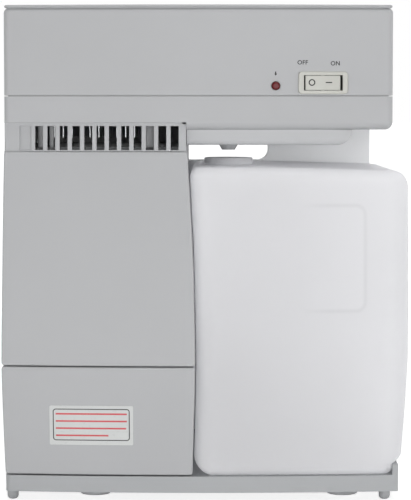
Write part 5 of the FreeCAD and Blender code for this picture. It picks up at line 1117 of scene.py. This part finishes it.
def inked_line(u, v, width, closed):
    """A flat line of ink along points (u, v), closed by its two ends or on itself.

    A station has four corners, half the width to each side of the path, at the back and at the front.
    """
    u, v, width = (np.asarray(k, float) for k in np.broadcast_arrays(u, v, width))
    if closed:
        along = np.stack([np.roll(u, -1) - np.roll(u, 1), np.roll(v, -1) - np.roll(v, 1)])
    else:
        along = np.stack([np.gradient(u), np.gradient(v)])
    along = along / np.linalg.norm(along, axis=0)
    side_u, side_v = -along[1] * width / 2, along[0] * width / 2
    across = np.array([-1.0, 1.0, 1.0, -1.0, -1.0])[:, None]
    proud = np.array([0.0, 0.0, 1.0, 1.0, 0.0])[:, None]
    ring = (u + side_u * across, v + side_v * across, proud + 0 * u)
    points = np.stack(ring, axis=-1).reshape(-1, 3)
    faces = grid_faces(5, len(u), closed)
    if not closed:
        ends = np.array([0, len(u) - 1])[:, None] + len(u) * np.arange(4)
        faces = np.concatenate([faces, ends])
    return points, faces


def printed(name, points, faces, face, height, material, body, slot):
    """Lays points (u, v, proud) on a face, with x = u and z = v.

    y is the face's depth, less the height at the front of the ink (proud = 1) and plus it at its back.
    """
    u, v, proud = points.T
    laid = np.stack([u, face(u, v) - height * (2 * proud - 1), v], axis=-1)
    return make_piece(name, laid, faces, material, body)


def letters(words, height, centre):
    """The letters of a word as a plate of two faces and a rim, centred in the plane of (u, v)."""
    curve = bpy.data.curves.new(words, "FONT")
    curve.body = words
    curve.extrude = 0.5
    curve.offset = 0.02
    curve.space_character = 1.05
    shape = bpy.data.objects.new(words, curve)
    mesh = bpy.data.meshes.new_from_object(shape)
    mesh.calc_loop_triangles()
    points, faces = np.empty(len(mesh.vertices) * 3), np.empty(len(mesh.loop_triangles) * 3, int)
    mesh.vertices.foreach_get("co", points)
    mesh.loop_triangles.foreach_get("vertices", faces)
    bpy.data.objects.remove(shape)
    bpy.data.meshes.remove(mesh)
    points = points.reshape(-1, 3)
    low, high = points.min(axis=0), points.max(axis=0)
    flat = (points[:, :2] - (low + high)[:2] / 2) * height / (high[1] - low[1]) + centre
    return np.column_stack([flat, points[:, 2] + 0.5]), faces.reshape(-1, 3)


class PrintMarks(bpy.types.Operator):
    """Prints ON and OFF, the lamp's arrow, the rocker's ring and bar, and the film on the tray's front"""

    bl_idname = "distiller.print_marks"
    bl_label = "Print marks and film"

    def execute(self, context):
        sizes, tint = context.scene.distiller_sizes, context.scene.distiller_colours
        proud = sizes.print_height
        ink = finish_of("Pad-printed black ink", printing_ink, tint.ink)
        low, high = node_box("switch_bezel")
        switch_x, switch_z = (low[0] + high[0]) / 2, (low[2] + high[2]) / 2
        for words, across, up in SWITCH_WORDS:
            plate = letters(words, sizes.letter_height, (switch_x + across, switch_z + up))
            printed("print_" + words.lower(), *plate, head_face, proud, ink, "housing", "charcoal")
        low, high = node_box("refill_lamp")
        lamp_x, lamp_top = (low[0] + high[0]) / 2, high[2]
        arrow = inked_line(lamp_x, lamp_top + np.array(ARROW_HEIGHTS), ARROW_WIDTHS, False)
        printed("print_lamp_arrow", *arrow, head_face, proud, ink, "housing", "charcoal")
        rocker, mark_z = valley_face("switch_rocker"), switch_z + ROCKER_MARK_Z
        turn = np.linspace(0, 2 * math.pi, RING_STATIONS, endpoint=False)
        ring = inked_line(switch_x + RING_X + RING_RADIUS * np.cos(turn), mark_z + RING_RADIUS * np.sin(turn),
                          sizes.line_width, True)
        printed("rocker_ring", *ring, rocker, proud, ink, "rocker", "charcoal")
        along = np.linspace(-BAR_LENGTH / 2, BAR_LENGTH / 2, BAR_STATIONS)
        bar = inked_line(switch_x + BAR_X + along, mark_z, BAR_WIDTH, False)
        printed("rocker_bar", *bar, rocker, proud, ink, "rocker", "charcoal")
        finish_nodes(finish_of("Calendered vinyl film", printed_film, tint.film), "label")
        film = crowned_face("label")
        low, high = node_box("label")
        u, v = rounded_rectangle(low[0] + BORDER_SIDE, high[0] - BORDER_SIDE, low[2] + BORDER_FOOT,
                                 high[2] - BORDER_TOP, BORDER_CORNER, BORDER_SIDE_POINTS,
                                 BORDER_CORNER_POINTS)
        border = inked_line(u[0], v[0], sizes.line_width - BORDER_THINNER, True)
        printed("label_border", *border, film, proud, ink, "boiling_tray", "charcoal")
        red = finish_of("Screen-printed red ink", printing_ink, tint.rule_ink)
        rule_left, longest = low[0] + RULE_SIDE, high[0] - low[0] - 2 * RULE_SIDE
        for number, share in enumerate(RULE_SHARES):
            run = np.linspace(rule_left, rule_left + share * longest, RULE_STATIONS)
            rule = inked_line(run, high[2] - RULE_TOP - RULE_PITCH * number, RULE_WIDTH, False)
            printed("label_rule_" + str(number + 1), *rule, film, proud, red, "boiling_tray", "sticker_white")
        return {"FINISHED"}


LAMP_LEVEL = 0.232   # the front and the fill lamp shine level from here, in under the head
# Lamps: place, what each faces, width and height, in metres.
LAMPS = {
    "front": ((1.2, -3.6, LAMP_LEVEL), (0.0, 0.0, LAMP_LEVEL), 1.6, 0.24),
    "fill": ((-1.4, -3.4, LAMP_LEVEL), (0.0, 0.0, LAMP_LEVEL), 1.2, 0.24),
    "low": ((0.05, -1.1, 0.05), (0.05, 0.0, 0.2), 0.4, 0.4),
    "top": ((0.1, -0.3, 1.5), (0.0, 0.0, 0.2), 1.2, 1.2),
    "side": ((1.8, 0.35, 0.26), (0.1, 0.0, 0.2), 0.5, 0.5),
    "rear": ((0.3, 1.9, 1.0), (0.05, 0.0, 0.15), 1.2, 1.2),
}
SENSOR_WIDTH = 36.0   # of the camera, in millimetres
FLOOR_REACH = 40.0   # half the floor's width
GLOW_NEAR, GLOW_FAR = 0.5, 2.5   # distances between which the floor's glow rises
HORIZON_BAND, HORIZON_END = 0.05, 0.25   # the sky's height (as a sine) where the band fades, and is gone


class SetStage(bpy.types.Operator):
    """Sets the floor, the backdrop, the lamps and the camera"""

    bl_idname = "distiller.set_stage"
    bl_label = "Set stage"

    def execute(self, context):
        scene, light = context.scene, context.scene.distiller_stage
        set_floor()
        set_world(scene, light.world_level, light.horizon_level)
        for name, (place, target, wide, tall) in LAMPS.items():
            area_lamp(name.capitalize() + " lamp", place, target, wide, tall, getattr(light, name + "_power"))
        camera = bpy.data.cameras.new("Camera")
        camera.lens = light.lens
        camera.sensor_width = SENSOR_WIDTH
        eye = bpy.data.objects.new("Camera", camera)
        eye.location = (0.0, -light.camera_distance, light.camera_height)
        eye.rotation_euler = (math.pi / 2 - light.camera_tilt, 0.0, 0.0)
        scene.collection.objects.link(eye)
        scene.camera = eye
        scene.view_settings.view_transform = "Standard"
        return {"FINISHED"}


def area_lamp(name, place, target, wide, tall, power):
    """A rectangular area lamp that faces a target, with its width level."""
    lamp = bpy.data.lights.new(name, "AREA")
    lamp.energy = power
    lamp.shape = "RECTANGLE"
    lamp.size = wide
    lamp.size_y = tall
    made = bpy.data.objects.new(name, lamp)
    way = Vector(target) - Vector(place)
    made.rotation_mode = "QUATERNION"
    made.rotation_quaternion = way.to_track_quat("-Z", "Y")
    made.location = place
    bpy.context.scene.collection.objects.link(made)


def pale_rays(tree):
    """One where a ray comes straight from the camera, from a mirror or glass, and nothing elsewhere.

    A ray that has gone through a frosted wall sees the plain lit room, which such a wall would blur.
    """
    rays = add(tree, "ShaderNodeLightPath")
    straight = add(tree, "ShaderNodeMath", {"operation": "LESS_THAN"},
                   {0: rays.outputs["Transparent Depth"], 1: 0.5})
    direct = add(tree, "ShaderNodeMath", {"operation": "MULTIPLY"},
                 {0: rays.outputs["Is Camera Ray"], 1: straight.outputs["Value"]})
    first = add(tree, "ShaderNodeMath", {"operation": "MAXIMUM"},
                {0: direct.outputs["Value"], 1: rays.outputs["Is Glossy Ray"]})
    both = add(tree, "ShaderNodeMath", {"operation": "MAXIMUM"},
               {0: first.outputs["Value"], 1: rays.outputs["Is Transmission Ray"]})
    return both.outputs["Value"]


def set_floor():
    """A pale floor that keeps the object's shadow. It glows more further out, where the lamps don't reach."""
    mesh = bpy.data.meshes.new("floor")
    corners = [(FLOOR_REACH * x, FLOOR_REACH * y, 0) for x, y in ((-1, -1), (1, -1), (1, 1), (-1, 1))]
    mesh.from_pydata(corners, [], [(0, 1, 2, 3)])
    made = bpy.data.objects.new("floor", mesh)
    bpy.context.scene.collection.objects.link(made)
    material, tree, shader, place = start_material("Pale matt floor")
    shader.inputs["Base Color"].default_value = rgba(linear("#F4F4F4"))
    shader.inputs["Roughness"].default_value = 0.9
    shader.inputs["Specular IOR Level"].default_value = 0.1
    away = add(tree, "ShaderNodeVectorMath", {"operation": "LENGTH"}, {0: place}).outputs["Value"]
    level = add(tree, "ShaderNodeMapRange", {"interpolation_type": "SMOOTHSTEP"}, {
        "Value": away, "From Min": GLOW_NEAR, "From Max": GLOW_FAR, "To Min": 0.75, "To Max": 1.0,
    }).outputs["Result"]
    glow = add(tree, "ShaderNodeEmission", None, {"Strength": level})
    both = add(tree, "ShaderNodeAddShader", None, {0: shader.outputs["BSDF"], 1: glow.outputs["Emission"]})
    pick = add(tree, "ShaderNodeMixShader", None,
               {0: pale_rays(tree), 1: shader.outputs["BSDF"], 2: both.outputs["Shader"]})
    show(tree, pick.outputs["Shader"])
    mesh.materials.append(material)


def set_world(scene, level, horizon):
    """White to the camera and to reflections, and elsewhere a tent's even light, brightest at its horizon."""
    world = bpy.data.worlds.new("Studio")
    world.use_nodes = True
    tree = world.node_tree
    tree.nodes.clear()
    way = add(tree, "ShaderNodeTexCoord").outputs["Generated"]
    rise = add(tree, "ShaderNodeSeparateXYZ", None, {0: way}).outputs["Z"]
    steep = add(tree, "ShaderNodeMath", {"operation": "ABSOLUTE"}, {0: rise}).outputs["Value"]
    band = add(tree, "ShaderNodeMapRange", {"interpolation_type": "SMOOTHSTEP"}, {
        "Value": steep, "From Min": HORIZON_BAND, "From Max": HORIZON_END, "To Min": horizon, "To Max": level,
    }).outputs["Result"]
    even = add(tree, "ShaderNodeBackground", None, {"Color": (1, 1, 1, 1), "Strength": band})
    white = add(tree, "ShaderNodeBackground", None, {"Color": (1, 1, 1, 1), "Strength": 1.0})
    mix = add(tree, "ShaderNodeMixShader", None,
              {0: pale_rays(tree), 1: even.outputs["Background"], 2: white.outputs["Background"]})
    add(tree, "ShaderNodeOutputWorld", None, {"Surface": mix.outputs["Shader"]})
    scene.world = world


class DistillerPanel(bpy.types.Panel):
    """Lists the steps in the 3D view's sidebar"""

    bl_idname = "VIEW3D_PT_distiller"
    bl_label = "Water distiller"
    bl_space_type = "VIEW_3D"
    bl_region_type = "UI"
    bl_category = "Distiller"

    def draw(self, context):
        for step in STEPS:
            self.layout.operator(step.bl_idname)
        for group in ("distiller_colours", "distiller_sizes", "distiller_stage"):
            box = self.layout.box()
            held = getattr(context.scene, group)
            for name in held.__annotations__:
                box.prop(held, name)


STEPS = (FinishHousing, MouldFronts, MouldStorageTank, FinishTank, FinishSwitch, FinishMetal, WindSpring,
         FinishFittings, PrintMarks, SetStage)
GROUPS = {"distiller_colours": DistillerColours, "distiller_sizes": DistillerSizes,
          "distiller_stage": DistillerStage}


def register():
    """Registers the classes and hangs the property groups on the scene."""
    for kind in (*GROUPS.values(), *STEPS, DistillerPanel):
        bpy.utils.register_class(kind)
    for name, kind in GROUPS.items():
        setattr(bpy.types.Scene, name, PointerProperty(type=kind))


def unregister():
    """Takes the property groups and the classes away again."""
    for name in GROUPS:
        delattr(bpy.types.Scene, name)
    for kind in (DistillerPanel, *reversed(STEPS), *reversed(list(GROUPS.values()))):
        bpy.utils.unregister_class(kind)


def main():
    """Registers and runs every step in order."""
    register()
    for step in STEPS:
        group, name = step.bl_idname.split(".")
        getattr(getattr(bpy.ops, group), name)()


if __name__ == "__main__":
    main()
